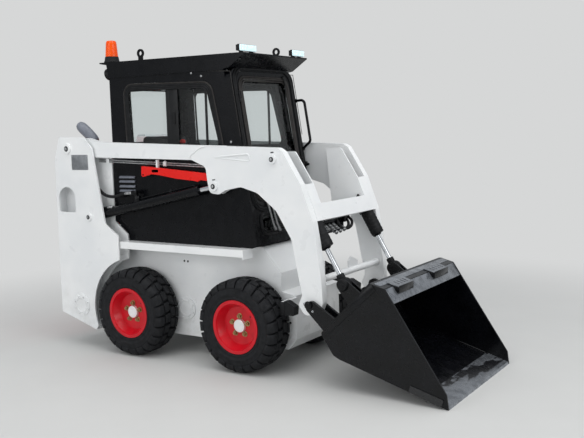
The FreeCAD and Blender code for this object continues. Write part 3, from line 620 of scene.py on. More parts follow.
# %% Wheel nuts, hub caps and valves
nut_circle = 60.0
nut_seat = 42.0
for station, axle_x, side in stations:
    body = "wheel_" + station
    face = side * (wheel_y + nut_seat)
    nuts = []
    for index in range(5):
        turn = math.radians(90 + 72 * index)
        x, z = axle_x + nut_circle * math.cos(turn), tyre_radius + nut_circle * math.sin(turn)
        nuts.append(bolt("nut", (x, face, z), (0, side, 0), 23, 14, 1.35))
        nuts.append(drum("stud", (x, face + side * 14, z), (x, face + side * 24, z), 6.5, 16, 0.8))
    fit(joined("wheel_nuts_" + station, nuts), yellow_zinc, body, 30)
    cap = [(0, 16), (24, 16), (36, 14.5), (41.5, 11), (43, 6), (43, 0), (0, 0)]
    fit(turned("hub_cap_" + station, cap, (axle_x, face, tyre_radius), (0, side, 0), 40), white_enamel,
        body, 40)
    stem = drum("stem", (axle_x + 104, side * (wheel_y + 48), tyre_radius + 70),
                (axle_x + 110, side * (wheel_y + 78), tyre_radius + 74), 4.5, 14, 0.8)
    cap_end = drum("stem_cap", (axle_x + 110, side * (wheel_y + 78), tyre_radius + 74),
                   (axle_x + 111.5, side * (wheel_y + 86), tyre_radius + 75), 5.5, 8, 0.8)
    fit(joined("valve_" + station, [stem, cap_end]), moulded_rubber, body)
print("wheels dressed")

# %% [markdown]
# ## Pins, plates and covers
# Every pivot is a hardened pin held by a bolt in its end. The round covers over the drive chains are
# bolted through a ring, and a bare plate is riveted to the right upright.


# %% Pin ends on the bosses
def pin_end(name, at, y_face, radius):
    ring = turned(name + "_ring", [(0, 3), (radius * 0.5, 3), (radius * 0.56, 1.5), (radius * 0.9, 1.5),
                                   (radius, 0.8),
                                   (radius, 0), (0, 0)], (at[0], y_face, at[1]), (0, -1, 0), 36)
    head = drum(name, (at[0], y_face - 3, at[1]), (at[0], y_face - 7, at[1]), radius * 0.34, 6, 0.6)
    return joined(name, [ring, head])


upright_face = -449
boss_face = -427
arm_face = -414
arm_pivot = (-1332, 1385)
lift_base = (-1154, 917)
lift_pin = (-77, 1143)
tilt_top = (362, 1308)
for name, at, y_face, radius, body in (
        ("arm_pivot_pin_right", arm_pivot, upright_face, 19, "machine"),
        ("lift_base_pin_right", lift_base, upright_face, 15, "machine"),
        ("lift_eye_pin_right", lift_pin, boss_face, 16, "arms"),
        ("tilt_base_pin_right", tilt_top, boss_face, 15, "arms")):
    fit_pair(pin_end(name, at, y_face, radius), engine_iron, body)
    nut = drum(name.replace("pin", "nut"), (at[0], y_face - 2.8, at[1]), (at[0], y_face - 7.6, at[1]),
               radius * 0.52, 28, 0.5)
    fit_pair(nut, zinc_plate, body)
marks = []
for at in (lift_pin, tilt_top):
    x, z = at
    mark_rows = [(x - 11, z + 36, 3), (x + 11, z + 38, 3), (x + 11, z + 45, 3), (x - 11, z + 43, 3)]
    marks.append(side_plate("mark", rounded(mark_rows), arm_face - 2.2, arm_face, 0.4))
fit_pair(joined("grease_slots_right", marks), black_plastic, "arms")

# %% Bolted ring covers and the bare plate
for name, at, y_face, body in (("upright_cover_right", (-1272, 295), -443, "machine"),
                               ("tub_cover_right", (-467, 315), -270, "machine")):
    heads = []
    for index in range(8):
        turn = math.radians(22.5 + 45 * index)
        heads.append(bolt("cover_bolt", (at[0] + 64 * math.cos(turn), y_face, at[1] + 64 * math.sin(turn)),
                          (0, -1, 0), 12, 5))
    fit_pair(joined(name + "_bolts", heads), white_enamel, body, 30)
    rim_rows = [(46, 0), (46, 3), (49, 4.5), (54, 4.5), (56, 3), (56, 0)]
    fit_pair(turned(name + "_ring", rim_rows, (at[0], y_face, at[1]), (0, -1, 0), 48), white_enamel, body)
plate_rows = rounded([(-1296, 1240, 5), (-1138, 1240, 5), (-1138, 1343, 5), (-1296, 1343, 5)], 4)
fit(side_plate("bare_plate", plate_rows, -438.8, -436.9, 0.5), brushed_plate, "machine")
rivets = []
for x in (-1288, -1146):
    for z in (1248, 1335):
        rivets.append(turned("rivet", [(0, 2.2), (2.4, 1.8), (3.8, 0.4), (3.8, -0.5), (0, -0.5)],
                             (x, -438.8, z),
                             (0, -1, 0), 16))
fit(joined("plate_rivets", rivets), zinc_plate, "machine")
print("pins and covers fitted")

# %% [markdown]
# ## Hydraulic lines
# Steel pipes run under each beam in moulded clamps, and short hoses feed the lift cylinders. Pipes are
# straight with tight bends; hoses sag in one smooth line between their swaged ends.

# %% Pipes under the beams
pipe_y = -361
beam_pipes = []
for drop, end_x in ((0, -178), (13, -190)):
    route = [(x, pipe_y, z - drop) for x, z in ((-1104, 1308), (-1089, 1307), (-560, 1287), (end_x, 1272))]
    beam_pipes.append(hose("pipe", route, 5, False))
fit_pair(joined("beam_pipes_right", beam_pipes), zinc_plate, "arms")
clamps = []
for x, z in ((-1023, 1299), (-513, 1279)):
    clamps.append(slab("clamp", (x - 13, pipe_y - 8, z - 16), (x + 13, pipe_y + 8, z + 15), 3))
    clamps.append(drum("clamp_bolt", (x, pipe_y, z + 14), (x, pipe_y, z + 20), 5, 6, 0.6))
fit_pair(joined("pipe_clamps_right", clamps), white_enamel, "arms")

# %% [markdown]
# The red strut is a folded channel that locks the raised arms for service. It hangs under the right
# beam from a white strap. Its face has a slot and a pin hole, and its lower edge is stepped.

# %% Safety strut
strut_rows = rounded([(-684, 1265, 4), (-541, 1254, 30), (-133, 1220, 4), (-133, 1174, 4), (-195, 1179, 3),
                      (-217, 1168, 6), (-248, 1174, 20), (-394, 1186, 60), (-534, 1208, 40),
                      (-600, 1213, 20),
                      (-677, 1194, 10), (-688, 1205, 5)], 4)
strut = cut_out(side_plate("strut_face", strut_rows, -402, -396, 0), [
    side_plate("slot", rounded([(-598, 1224, 8), (-540, 1225, 8), (-540, 1243, 8), (-598, 1242, 8)], 4),
               -420, -385, 0),
    drum("pin_hole", (-674, -420, 1208), (-674, -385, 1208), 6.5, 20, 0)])
soften(strut, 1.2, 1)
# Each flange is a 6 mm band that follows one edge of the face.
flange_edges = [
    ([(-682, 1265), (-541, 1254), (-134, 1220)], -6),
    ([(-196, 1179), (-134, 1174)], 6),
    ([(-677, 1195), (-600, 1213), (-534, 1208), (-394, 1186), (-248, 1175), (-217, 1169)], 6),
]
flanges = [side_plate("flange", edge + [(x, z + band) for x, z in edge[::-1]], -397, -370, 1)
           for edge, band in flange_edges]
strut = joined("strut_channel", [strut] + flanges)
fit(strut, strut_red, "arms", 30)
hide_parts("safety_strut")
strap = slab("strut_strap", (-561, -398, 1250), (-549, -376, 1306), 2)
fit(strap, white_enamel, "arms")

# %% Pressed edges on the outer face of each arm
edge_line = [(-262, 1322), (-255, 1334), (-190, 1376), (-160, 1386), (-124, 1391), (30, 1387)]
ridge = hose("ridge", [(x, -412.5, z) for x, z in edge_line], 4.5, False)
recess_rows = [(-82, 1321, 2), (206, 1296, 14), (190, 1341, 16)]
fold = loop("fold", [(x, -413.6, z) for x, z in rounded(recess_rows)], 4.2)
fit_pair(joined("arm_pressings_right", [ridge, fold]), white_enamel, "arms", 60)

# %% Lines of the lift cylinders
lift_run = Vector((1077, 0, 226)).normalized()
lift_up = Vector((-226, 0, 1077)).normalized()
lift_start = Vector((-1154, -390, 917))


def on_lift(distance, height, sideways=0):
    return tuple(lift_start + lift_run * distance + lift_up * height + Vector((0, sideways, 0)))


barrel = "lift_barrel_right"
line = [on_lift(404, 48), on_lift(420, 43), on_lift(450, 40), on_lift(900, 40), on_lift(926, 38),
        on_lift(936, 28)]
fit_pair(hose("lift_pipe_right", line, 5.5, False), black_enamel, barrel)
port = [
    slab("elbow", (-786, -408, 1074), (-736, -384, 1104), 6),
    slab("riser", (-758, -404, 1030), (-736, -388, 1090), 4),
    drum("port_block", on_lift(430, 24), on_lift(430, 62), 17, 8, 2),
    slab("port_seat", (-754, -404, 1030), (-718, -376, 1070), 5),
    slab("pipe_saddle", (-455, -398, 1090), (-437, -382, 1118), 3),
]
fit_pair(joined("lift_port_right", port), black_enamel, barrel)
gland = [(32.8, -30), (33.5, -28), (33.5, -3), (31, 0), (22, 1.5), (17.2, 1.5), (17.2, -30)]
fit_pair(turned("lift_gland_right", gland, on_lift(966.5, 0), lift_run, 40), black_enamel, barrel)
fittings = [
    drum("swage", (-846, -396, 1082), (-806, -396, 1086), 11, 20, 1.5),
    drum("swage_nut", (-808, -396, 1085), (-784, -396, 1087), 14, 6, 1),
    drum("base_swage", (-1010, -400, 984), (-978, -398, 990), 10, 20, 1.5),
    drum("base_nut", (-980, -398, 989), (-966, -396, 984), 13, 6, 1),
    drum("base_port", (-966, -394, 984), (-958, -392, 962), 9, 20, 1),
]
fit_pair(joined("lift_fittings_right", fittings), zinc_plate, barrel)
feed = hose("feed", [(-1100, -396, 1120), (-1076, -398, 1096), (-1030, -400, 1066), (-960, -400, 1056),
                     (-900, -398, 1066),
                     (-866, -396, 1080), (-840, -396, 1083)], 11)
base_feed = hose("base_feed", [(-1100, -400, 960), (-1060, -402, 974), (-1020, -401, 982),
                               (-1002, -400, 985)], 9)
fit_pair(joined("lift_hoses_right", [feed, base_feed]), moulded_rubber, barrel, 60)
print("lift cylinder lines fitted")

# %% [markdown]
# Each tilt cylinder hangs inside its leg. A moulded sleeve guards the hoses and the lower barrel, and
# the rod ends in a big greased eye with rubber rings on both faces.

# %% Guards, glands and eyes of the tilt cylinders
tilt_run = Vector((416, 0, -723)).normalized()
tilt_out = Vector((723, 0, 416)).normalized()
tilt_start = Vector((362, -322.5, 1308))


def on_tilt(distance, out=0, sideways=0):
    return tuple(tilt_start + tilt_run * distance + tilt_out * out + Vector((0, sideways, 0)))


sleeve = [(0, 330), (38, 330), (41, 334)]
for ring in range(10):
    start = 346 + ring * 24
    sleeve += [(41, start), (42.2, start + 3), (42.2, start + 14), (41, start + 17)]
sleeve += [(41, 592), (38, 596), (0, 596)]
barrel = "tilt_barrel_right"
guard = turned("sleeve", sleeve, on_tilt(0, 9), tilt_run, 40)
ribs = []
for index in range(9):
    start = 432 + index * 17
    ribs.append(outline("rib", [on_tilt(start, 18, 26), on_tilt(start + 9, 18, 26),
                                on_tilt(start + 9, 18, 44),
                                on_tilt(start, 18, 44)], tuple(tilt_out * -34), 1.5))
spine = outline("spine", [on_tilt(424, 12, 24), on_tilt(590, 12, 24), on_tilt(590, 12, 40),
                          on_tilt(424, 12, 40)],
                tuple(tilt_out * -24), 3)
fit_pair(joined("tilt_guard_right", [guard, spine] + ribs), moulded_rubber, barrel)
gland = [(15.2, 590), (28, 590), (29.5, 592), (29.5, 600), (24, 606), (18, 608), (15.2, 608)]
fit_pair(turned("tilt_gland_right", gland, on_tilt(0), tilt_run, 36), black_enamel, barrel)
eye_rows = [(19, 0), (38, 0), (41, 3), (41, 9), (38, 11), (33, 11), (31, 14), (24, 14), (22, 11), (19, 11)]
eyes = []
for side in (-1, 1):
    eyes.append(turned("eye_ring", eye_rows, (778, -322.5 + side * 2.5, 585), (0, side, 0), 40))
collar = turned("collar", [(15.2, 0), (22, 0), (24, 4), (24, 26), (20, 34), (15.2, 34)], on_tilt(770),
                tilt_run, 32)
fit_pair(joined("tilt_eye_right", eyes + [collar]), moulded_rubber, "tilt_rod_right")
print("tilt cylinders dressed")

# %% [markdown]
# The bucket's auxiliary lines end in quick couplers on a small bracket under the crossmember. Each is
# a turned steel body with a sliding sleeve, and two short hoses loop back up behind them.

# %% Quick couplers under the crossmember
coupler_profile = [(0, 0), (8, 0), (9, 2), (9, 8), (13, 8), (14, 10), (14, 30), (13, 32), (10.5, 33),
                   (10.5, 44),
                   (12, 46), (12, 56), (8, 58), (0, 58)]
couplers = []
for y, z in ((-196, 903), (-150, 905), (-104, 907)):
    couplers.append(turned("coupler", coupler_profile, (566, y, z), (0.86, -0.25, -0.42), 24))
for y, z in ((-88, 868), (-40, 872), (8, 876)):
    couplers.append(turned("coupler", coupler_profile, (560, y, z), (0.86, -0.35, -0.30), 24))
fit(joined("quick_couplers", couplers), zinc_plate, "arms")
bracket = [
    slab("bracket", (556, -222, 846), (564, 60, 936), 3),
    slab("lip", (556, -222, 930), (584, 60, 938), 3),
    slab("clip", (560, 24, 900), (592, 44, 940), 4),
]
fit(joined("coupler_bracket", bracket), black_enamel, "arms")
loops = [
    hose("loop", [(562, 70, 930), (600, 60, 905), (612, 30, 868), (600, -6, 862), (578, -30, 886),
                  (566, -30, 920)], 9),
    hose("loop", [(562, 96, 934), (606, 92, 912), (620, 64, 876), (606, 30, 858), (580, 10, 868),
                  (566, 8, 880)], 9),
    hose("loop", [(556, -150, 905), (540, -150, 915), (530, -140, 945), (540, -120, 975),
                  (560, -110, 985)], 9),
    hose("loop", [(556, -196, 903), (538, -198, 910), (526, -205, 940), (536, -215, 975),
                  (556, -225, 1000)], 9),
]
fit(joined("coupler_hoses", loops), moulded_rubber, "arms", 60)

# %% Hoses from the crossmember to the tilt cylinders
tilt_feed = [
    hose("feed", [(575, -262, 1040), (560, -272, 1000), (552, -286, 960), (566, -296, 925),
                  (590, -300, 890)], 8),
    hose("feed", [(566, -252, 1050), (545, -262, 1010), (535, -282, 975), (545, -300, 940),
                  (556, -306, 915)], 8),
]
fit_pair(joined("tilt_hoses_right", tilt_feed), moulded_rubber, "arms", 60)
print("couplers and hoses fitted")

# %% [markdown]
# ## Cab seals, windows and small fittings
# Glass is held by extruded rubber sections, which show as round lines along each opening. Each line
# is a tube swept round the rounded outline of the opening.

# %% Places on the walls and on the leaning front
lean = math.radians(8.87)


def on_front(y, height, out=0.0):
    return (188 - height * math.sin(lean) + out * math.cos(lean), y,
            773 + height * math.cos(lean) + out * math.sin(lean))


def front_x(z):
    return 188 - math.tan(lean) * (z - 773)


def shrink(rows, inset):
    # Draw a four-cornered outline in, keeping its rounded corners.
    middle = Vector((sum(row[0] for row in rows) / 4, sum(row[1] for row in rows) / 4))
    return [(a + (inset if a < middle.x else -inset), b + (inset if b < middle.y else -inset),
             radius - inset * 0.6)
            for a, b, radius in rows]


wall_face = -350
band_rows = [(-863, 1806, 74), (front_x(1806) - 146, 1788, 84), (front_x(1335) - 126, 1335, 60),
             (-848, 1335, 60)]
bead = loop("side_window_seal_right", [(x, wall_face - 1, z) for x, z in rounded(shrink(band_rows, 4))], 5)
fit_pair(bead, weathered_seal, "machine", 60)
bands = [loop("band", [(x, wall_face + 0.5, z) for x, z in rounded(shrink(band_rows, inset))],
              7) for inset in (15, 26, 37)]
fit_pair(joined("side_window_band_right", bands), moulded_rubber, "machine", 60)

# %% Rear, toe and door seals
rear_rows = [(-230, 1400, 20), (230, 1400, 20), (230, 1790, 20), (-230, 1790, 20)]
toe_rows = [(-270, 66, 50), (270, 66, 50), (270, 196, 50), (-270, 196, 50)]
pane_rows = [(-262, 286, 60), (262, 286, 60), (262, 1038, 60), (-262, 1038, 60)]
door_rows = [(-294, 240, 80), (294, 240, 80), (294, 1084, 80), (-294, 1084, 80)]
rear_seal = [loop("seal", [(-986, y, z) for y, z in rounded(shrink(rear_rows, inset))], radius)
             for inset, radius in ((-3, 9), (13, 6))]
fit(joined("rear_window_seal", rear_seal), weathered_seal, "machine", 60)
toe_seal = [loop("seal", [on_front(y, h, 1) for y, h in rounded(shrink(toe_rows, inset))], radius)
            for inset, radius in ((-2, 8), (12, 5))]
fit(joined("toe_window_seal", toe_seal), moulded_rubber, "machine", 60)
door_seal = [loop("seal", [on_front(y, h, 1) for y, h in rounded(shrink(pane_rows, inset))], radius)
             for inset, radius in ((-14, 6), (-3, 8), (12, 6))]
fit(joined("door_glass_seal", door_seal), weathered_seal, "door", 60)
frame_seal = [loop("seal", [on_front(y, h, out) for y, h in rounded(shrink(door_rows, inset))], radius)
              for inset, out, radius in ((-7, -6, 6), (-16, 2, 8), (-29, 1, 7))]
fit(joined("door_frame_seal", frame_seal), moulded_rubber, "machine", 60)

# %% Rubber strip that closes the engine bay behind the cab
strip_rows = [(-1016, 1278), (-986.5, 1278), (-986.5, 846), (-1016, 846)]
fit_pair(side_plate("bay_edge_seal_right", strip_rows, -346, -338, 2), moulded_rubber, "machine")

# %% Sliding window frames and the catch
window_bars = [
    slab("stile", (-470, -346, 1340), (-399, -339, 1802), 2),
    slab("stile_back", (-499, -343, 1340), (-468, -338.6, 1802), 1.5),
    slab("front_bar", (-180, -346, 1340), (-163, -339, 1798), 2),
    slab("top_rail", (-800, -345, 1752), (-140, -338.8, 1800), 2),
    slab("low_rail", (-800, -345, 1340), (-60, -338.8, 1358), 2),
]
fit_pair(joined("sliding_window_right", window_bars), black_plastic, "machine")
catch_rows = rounded([(-446, 1530, 8), (-422, 1530, 8), (-422, 1610, 8), (-446, 1610, 8)], 4)
fit_pair(side_plate("window_catch_right", catch_rows, -352, -345, 2), moulded_rubber, "machine")

# %% Wall bolts, pressed louvres and the seam of the front post
heads = [turned("head", [(0, 4), (4, 3.6), (7, 2), (8, 0), (0, 0)], (x, wall_face, z), (0, -1, 0), 20)
         for x, z in ((-276, 1845), (-197, 1822), (17, 1412))]
fit_pair(joined("wall_bolts_right", heads), zinc_plate, "machine")
louvres = []
for z in (1192, 1163, 1130, 1100):
    rows = [(-932, wall_face + out, z + rise) for out, rise in ((1, 6), (-12, -4), (-10, -12), (1, -10))]
    louvres.append(outline("louvre", rows, (141, 0, 0), 3))
fit_pair(joined("pressed_louvres_right", louvres), grey_heatproof, "machine")
seam = [
    outline("seam", [(x, wall_face + 0.5, z) for x, z in rows], (0, -2, 0), 0.5)
    for rows in (((-148, 1849), (31, 1838), (31, 1842), (-148, 1853)),
                 ((27, 1840), (31, 1840), (93, 1440), (89, 1440)))
]
fit_pair(joined("post_seams_right", seam), weathered_seal, "machine")
print("cab trim fitted")

# %% Wiper, latch and front pipes
wiper = [
    hose("blade", [on_front(222, 700, -9), on_front(218, 800, -9), on_front(212, 960, -9)], 5, False),
    hose("wiper_arm", [on_front(226, 1052, 8), on_front(232, 1000, 12), on_front(219, 850, -3)], 4, False),
    turned("pivot", [(0, 18), (10, 17), (15, 12), (15, 0), (0, 0)], on_front(226, 1052, 0), (1, 0, 0.156),
           28),
]
fit(joined("wiper", wiper), black_plastic, "door")
latch = [
    outline("latch_plate", [on_front(y, h, 0) for y,
                            h in rounded([(262, 440, 8), (288, 440, 8), (288, 530, 8),
                                                                 (262, 530, 8)], 4)], (10, 0, 1.6), 2),
    hose("latch_bar", [on_front(275, 452, 10), on_front(275, 460, 34), on_front(275, 510, 34),
                       on_front(275, 518, 10)], 6, False),
]
fit(joined("door_latch", latch), black_plastic, "door")
keeper = slab("keeper", (112, 322, 1226), (134, 346, 1260), 4)
fit(joined("latch_keeper", [keeper, drum("keeper_pin", (130, 334, 1243), (150, 334, 1240), 9, 20, 2)]),
    black_enamel,
    "machine")
pipes = [
    hose("pipe", [on_front(y, height, 12) for y, height in route], 6, False)
    for route in (((-198, 300), (-186, 276), (-160, 136), (-150, 100)),
                  ((-150, 270), (-138, 246), (-118, 126), (-104, 92)))
]
pipes.append(drum("union", on_front(-150, 100, 12), on_front(-142, 78, 12), 11, 6, 1))
pipes.append(drum("union", on_front(-104, 92, 12), on_front(-94, 70, 12), 11, 6, 1))
fit(joined("front_pipes", pipes), zinc_plate, "machine")

# %% [markdown]
# ## Roof lamps, beacon and horn
# The lamps are flat cast housings with cooling fins, each with a row of small reflectors behind a clear
# lens, both made bright by a painted glow. The beacon is a ribbed amber dome on a rubber base.

# %% Work lamps
def work_lamp(side, reach):
    low, high = (92, 202, 1953), (124, reach, 1994)
    body = slab("housing", (low[0] + 12, low[1], low[2]), high, 4)
    fins = [slab("fin", (low[0], y, low[2] + 3), (low[0] + 14, y + 3, high[2] - 3),
                 0.8) for y in range(210, reach - 4, 12)]
    feet = [slab("foot", (98, y - 10, 1945.4), (118, y + 10, 1955), 2) for y in (235, reach - 36)]
    name = "lamp_housing_" + ("right" if side < 0 else "left")
    housing = joined(name, [body] + fins + feet)
    frame_rows = rounded([(204, 1955, 4), (reach - 2, 1955, 4), (reach - 2, 1992, 4), (204, 1992, 4)], 4)
    lens = outline("lens", [(122, y, z) for y, z in frame_rows], (4.5, 0, 0), 1)
    cells = []
    for row in range(2):
        for column in range(int((reach - 216) / 20.8) + 1):
            cells.append(turned("cell", [(0, 1.4), (4.6, 1.2), (6.6, 0.2), (7.4, -0.6), (0, -0.6)],
                                (126.5, 216 + column * 20.8, 1965 + row * 17), (1, 0, 0), 16))
    lenses = joined(name.replace("housing", "lens"), [lens] + cells)
    if side < 0:
        for piece in (housing, lenses):
            piece.data.transform(Matrix.Scale(-1, 4, (0, 1, 0)))
            recalculate(piece)
    fit(housing, black_plastic, "machine")
    fit(lenses, lamp_lens_painted_glow, "machine")
    return housing


lamps = [work_lamp(-1, 376), work_lamp(1, 344)]
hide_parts("work_lamps")

# %% Beacon and rear horn
base = turned("beacon_base", [(0, 0), (53, 0), (54, 6), (49, 14), (46, 34), (44, 40), (0, 40)],
              (-1010, -290, 1957),
              (0, 0, 1), 48)
fit(base, moulded_rubber, "machine")
dome_rows = [(0, 38), (42, 38)]
for ring in range(6):
    z = 44 + ring * 13
    radius = 42.5 - ring * 1.05
    dome_rows += [(radius, z), (radius - 1.2, z + 6), (radius - 0.3, z + 11)]
dome_rows += [(35.5, 126), (34, 138), (28, 145), (16, 148), (0, 148)]
dome = turned("beacon_dome", dome_rows, (-1010, -290, 1957), (0, 0, 1), 48)
fit(dome, amber_lens_painted_glow, "machine")
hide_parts("beacon")
horn_rows = [(0, 0), (24, 0), (30, 6), (34, 22), (40, 34), (40, 40), (36, 40), (28, 30), (14, 24), (0, 24)]
fit_pair(turned("rear_lamp_right", horn_rows, (-1010, -290, 1888), (-1, 0, -0.2), 36), black_plastic,
         "machine")
print("roof fittings done")

# %% [markdown]
# ## The seat
# The seat's cushions are foam under stretched vinyl. Each starts as a slightly small block, is
# remeshed evenly, and is blown up a little by the cloth solver so that its faces crown and its edges
# stay drawn in. The result is applied, and the cap on movement keeps it clear of the walls.


# %% Cushions
def cushion(name, rows, y_low, y_high, voxel, cap):
    start = side_plate(name + "_start", rounded(rows, 4), y_low, y_high, 14)
    copy = moved(start, name)
    bpy.data.objects.remove(start)
    reshaped(copy, "REMESH", mode="VOXEL", voxel_size=voxel * MM)
    before = [vertex.co.copy() for vertex in copy.data.vertices]
    cloth = copy.modifiers.new("cloth", "CLOTH")
    cloth.settings.use_pressure = True
    cloth.settings.uniform_pressure_force = 4
    cloth.settings.effector_weights.gravity = 0
    for moment in range(1, 21):
        bpy.context.scene.frame_set(moment)
    only(copy)
    bpy.ops.object.modifier_apply(modifier=cloth.name)
    bpy.context.scene.frame_set(1)
    for vertex, old in zip(copy.data.vertices, before):
        step = vertex.co - old
        if step.length > cap * MM:
            vertex.co = old + step.normalized() * cap * MM
    return reshaped(copy, "SUBSURF", levels=1, render_levels=1)


seat_base = cushion("seat_base", [(-790, 938, 20), (-334, 938, 26), (-334, 1004, 26), (-760, 990, 20)],
                    -218, 218, 9, 12)
seat_back = cushion("seat_back", [(-786, 950, 14), (-730, 1000, 14), (-790, 1466, 34), (-856, 1466, 34),
                                  (-850, 1010, 20)],
                    -204, 204, 9, 12)
for piece in (seat_base, seat_back):
    fit(piece, seat_vinyl, "machine", 80)
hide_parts("seat")
pedestal = slab("seat_pedestal", (-760, -180, 782.6), (-420, 180, 930), 12)
fit(pedestal, black_plastic, "machine")
print("seat cushions:", len(seat_base.data.polygons), len(seat_back.data.polygons))

# %% [markdown]
# The operator is held by a padded bar that swings down from behind the seat. A dark panel with a
# screen sits on the right post, and a red knob tops the throttle.

# %% Lap bar, panel and knob
bar_route = [(-760, -268, 1240), (-640, -270, 1236), (-430, -262, 1150), (-392, -200, 1120),
             (-390, 0, 1112),
             (-392, 200, 1120), (-430, 262, 1150), (-640, 270, 1236), (-760, 268, 1240)]
fit(hose("lap_bar", bar_route, 13), black_enamel, "machine", 60)
rest_rows = rounded([(-700, 1240, 12), (-440, 1170, 12), (-434, 1200, 12), (-696, 1276, 12)], 4)
fit_pair(side_plate("arm_rest_right", rest_rows, -292, -240, 8), seat_vinyl, "machine")
panel = [
    outline("panel", [(10, -315, 1500), (-60, -315, 1490), (-40, -315, 1300), (28, -315, 1310)],
            (0, 60, 0), 6),
    outline("screen", [(-36, -254, 1478), (-22, -254, 1322), (6, -254, 1326), (-6, -254, 1484)], (0, 2, 0),
            1),
]
fit(joined("side_panel", panel), black_plastic, "machine")
knob = turned("throttle_knob", [(0, 26), (10, 25), (18, 18), (20, 8), (15, 0), (0, 0)], (-449, -250, 1408),
              (0, 0, 1), 32)
fit(knob, strut_red, "machine")
fit(hose("throttle_stalk", [(-430, -266, 1215), (-440, -258, 1300), (-449, -250, 1410)], 6), black_plastic,
    "machine")
boots = []
for side in (-1, 1):
    rings = [(12, 70)]
    for ring in range(4):
        rings += [(32 - ring * 4, 6 + ring * 15), (26 - ring * 4, 14 + ring * 15)]
    boots.append(turned("boot", [(0, 0), (34, 0)] + rings[1:] + rings[:1] + [(0, 70)],
                        (-62, side * 190, 811), (-0.2, 0, 1), 28))
fit(joined("lever_boots", boots), moulded_rubber, "machine")
print("cab inside fitted")

# %% [markdown]
# ## Bucket, coupler and rear details
# Welded seams stand proud as small beads. The steps over the bucket's back are folded plates with
# slots for grip, and they are worn bright.


# %% Step plates with grip slots
step_top = Vector((1013, 0, 647.5))
step_run = Vector((148, 0, -36.5)).normalized()
step_lift = Vector((36.5, 0, 148)).normalized()


def on_step(y, reach, up=0.0):
    return tuple(step_top + step_run * reach + step_lift * up + Vector((0, y, 0)))


def step_plate(name, y_low, y_high):
    rows = [(y_low, 66), (y_high, 66), (y_high - 14, 142), (y_low + 3, 142)]
    sheet = outline(name, [on_step(y, reach, -5) for y, reach in rows], tuple(step_lift * 5), 0)
    fold = outline("fold", [on_step(y_low + 3, 138), on_step(y_high - 14, 138), on_step(y_high - 14, 143),
                            on_step(y_low + 3, 143)], tuple(step_lift * -38 + step_run * 9), 0)
    webs = [outline("web", [on_step(y, 66, -4), on_step(y, 140, -4), on_step(y, 146, -36),
                            on_step(y, 66, -14)],
                    (0, 5, 0), 0) for y in (y_low + 4, y_high - 16)]
    cutters = []
    for index in range(4):
        y = y_low + 44 + index * (y_high - y_low - 80) / 3.4
        slot_rows = rounded([(y, 84, 5), (y + 13, 84, 5), (y + 13, 122, 5), (y, 122, 5)], 4)
        cutters.append(outline("cutter", [on_step(a, b, -20) for a, b in slot_rows], tuple(step_lift * 40),
                               0))
    soften(cut_out(sheet, cutters), 0.8, 1)
    fit(joined(name + "_fold", [soften(piece, 1) for piece in [fold] + webs]), bucket_enamel, "bucket", 30)
    return fit(sheet, worn_steel_and_painted_light, "bucket", 30)


near_step = step_plate("bucket_step_right", -385, -182)
step_plate("bucket_step_left", 100, 320)
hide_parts("bucket_step_plates")

# %% Brow plate across the mouth and a bright strip behind it; their bright steel colour is painted light on these upward faces
brow = side_plate("bucket_brow", [(1114, 611), (1163, 536), (1157, 532), (1107, 607)], -478.5, 478.5, 0.8)
fit(brow, worn_steel_and_painted_light, "bucket", 30)
strip_rows = [(1041, 633.6), (1082, 623.4), (1082, 624.8), (1041, 635)]
fit(side_plate("bucket_top_painted_light_strip", strip_rows, -470, 470, 0.3), worn_steel_and_painted_light, "bucket", 30)

# %% Weld beads and pin heads
inner = [(1326, 54), (1000, 150), (829, 200), (798, 215), (722, 326), (870, 474), (1022, 626)]
bead = hose("bead", [(x, -477, z) for x, z in inner], 5, False)
band = side_plate("band", [(720, 322), (1035, 637), (1062, 602), (757, 324)], -492, -489.5, 1)
fit_pair(joined("bucket_welds_right", [bead, band]), bucket_enamel, "bucket")
heads = [
    turned("head", [(0, 7), (7, 6.4), (10, 4), (11, 0), (0, 0)], (577, -438, 473), (0, -1, 0), 28),
    turned("nipple", [(0, 9), (3, 8.4), (4, 5), (7, 3), (8, 0), (0, 0)], (627, -438, 434), (0, -1, 0), 24),
]
fit_pair(joined("coupler_bolts_right", heads), hard_chrome, "bucket")
boss = turned("tilt_boss_right", [(0, 13), (9, 13), (11, 10), (24, 10), (26, 13), (31, 13), (33, 10),
                                  (36, 8), (38, 0),
                                  (0, 0)], (778, -349, 585), (0, -1, 0), 40)
fit_pair(boss, moulded_rubber, "bucket")
pin_ring = turned("coupler_pin_right", [(0, 8), (16, 8), (18, 6), (24, 2), (24, 0), (0, 0)],
                  (600, -444, 468), (0, -1, 0), 36)
fit_pair(pin_ring, bucket_enamel, "bucket")

# %% Caps on the arm stops' brackets
cap = slab("stop_cap_right", (386, -418.5, 388), (415, -414, 466), 1.5)
fit_pair(cap, moulded_rubber, "machine")

# %% Tub seams and drain holes
tub_face = -262
details = [
    outline("seam", [(x, tub_face, z) for x, z in rows], (0, -1.4, 0), 0.3)
    for rows in (((-560, 473), (-304, 467), (-304, 471), (-560, 477)),
                 ((336, 190), (396, 250), (399, 247), (339, 187)))
]
fit_pair(joined("tub_seams_right", details), white_enamel, "machine")
holes = [turned("hole", [(0, 0.6), (7, 0.6), (8, -1), (0, -1)], (x, tub_face, z), (0, -1, 0), 20)
         for x, z in ((-470, 631), (-440, 630), (357, 300))]
fit_pair(joined("tub_plugs_right", holes), black_plastic, "machine")

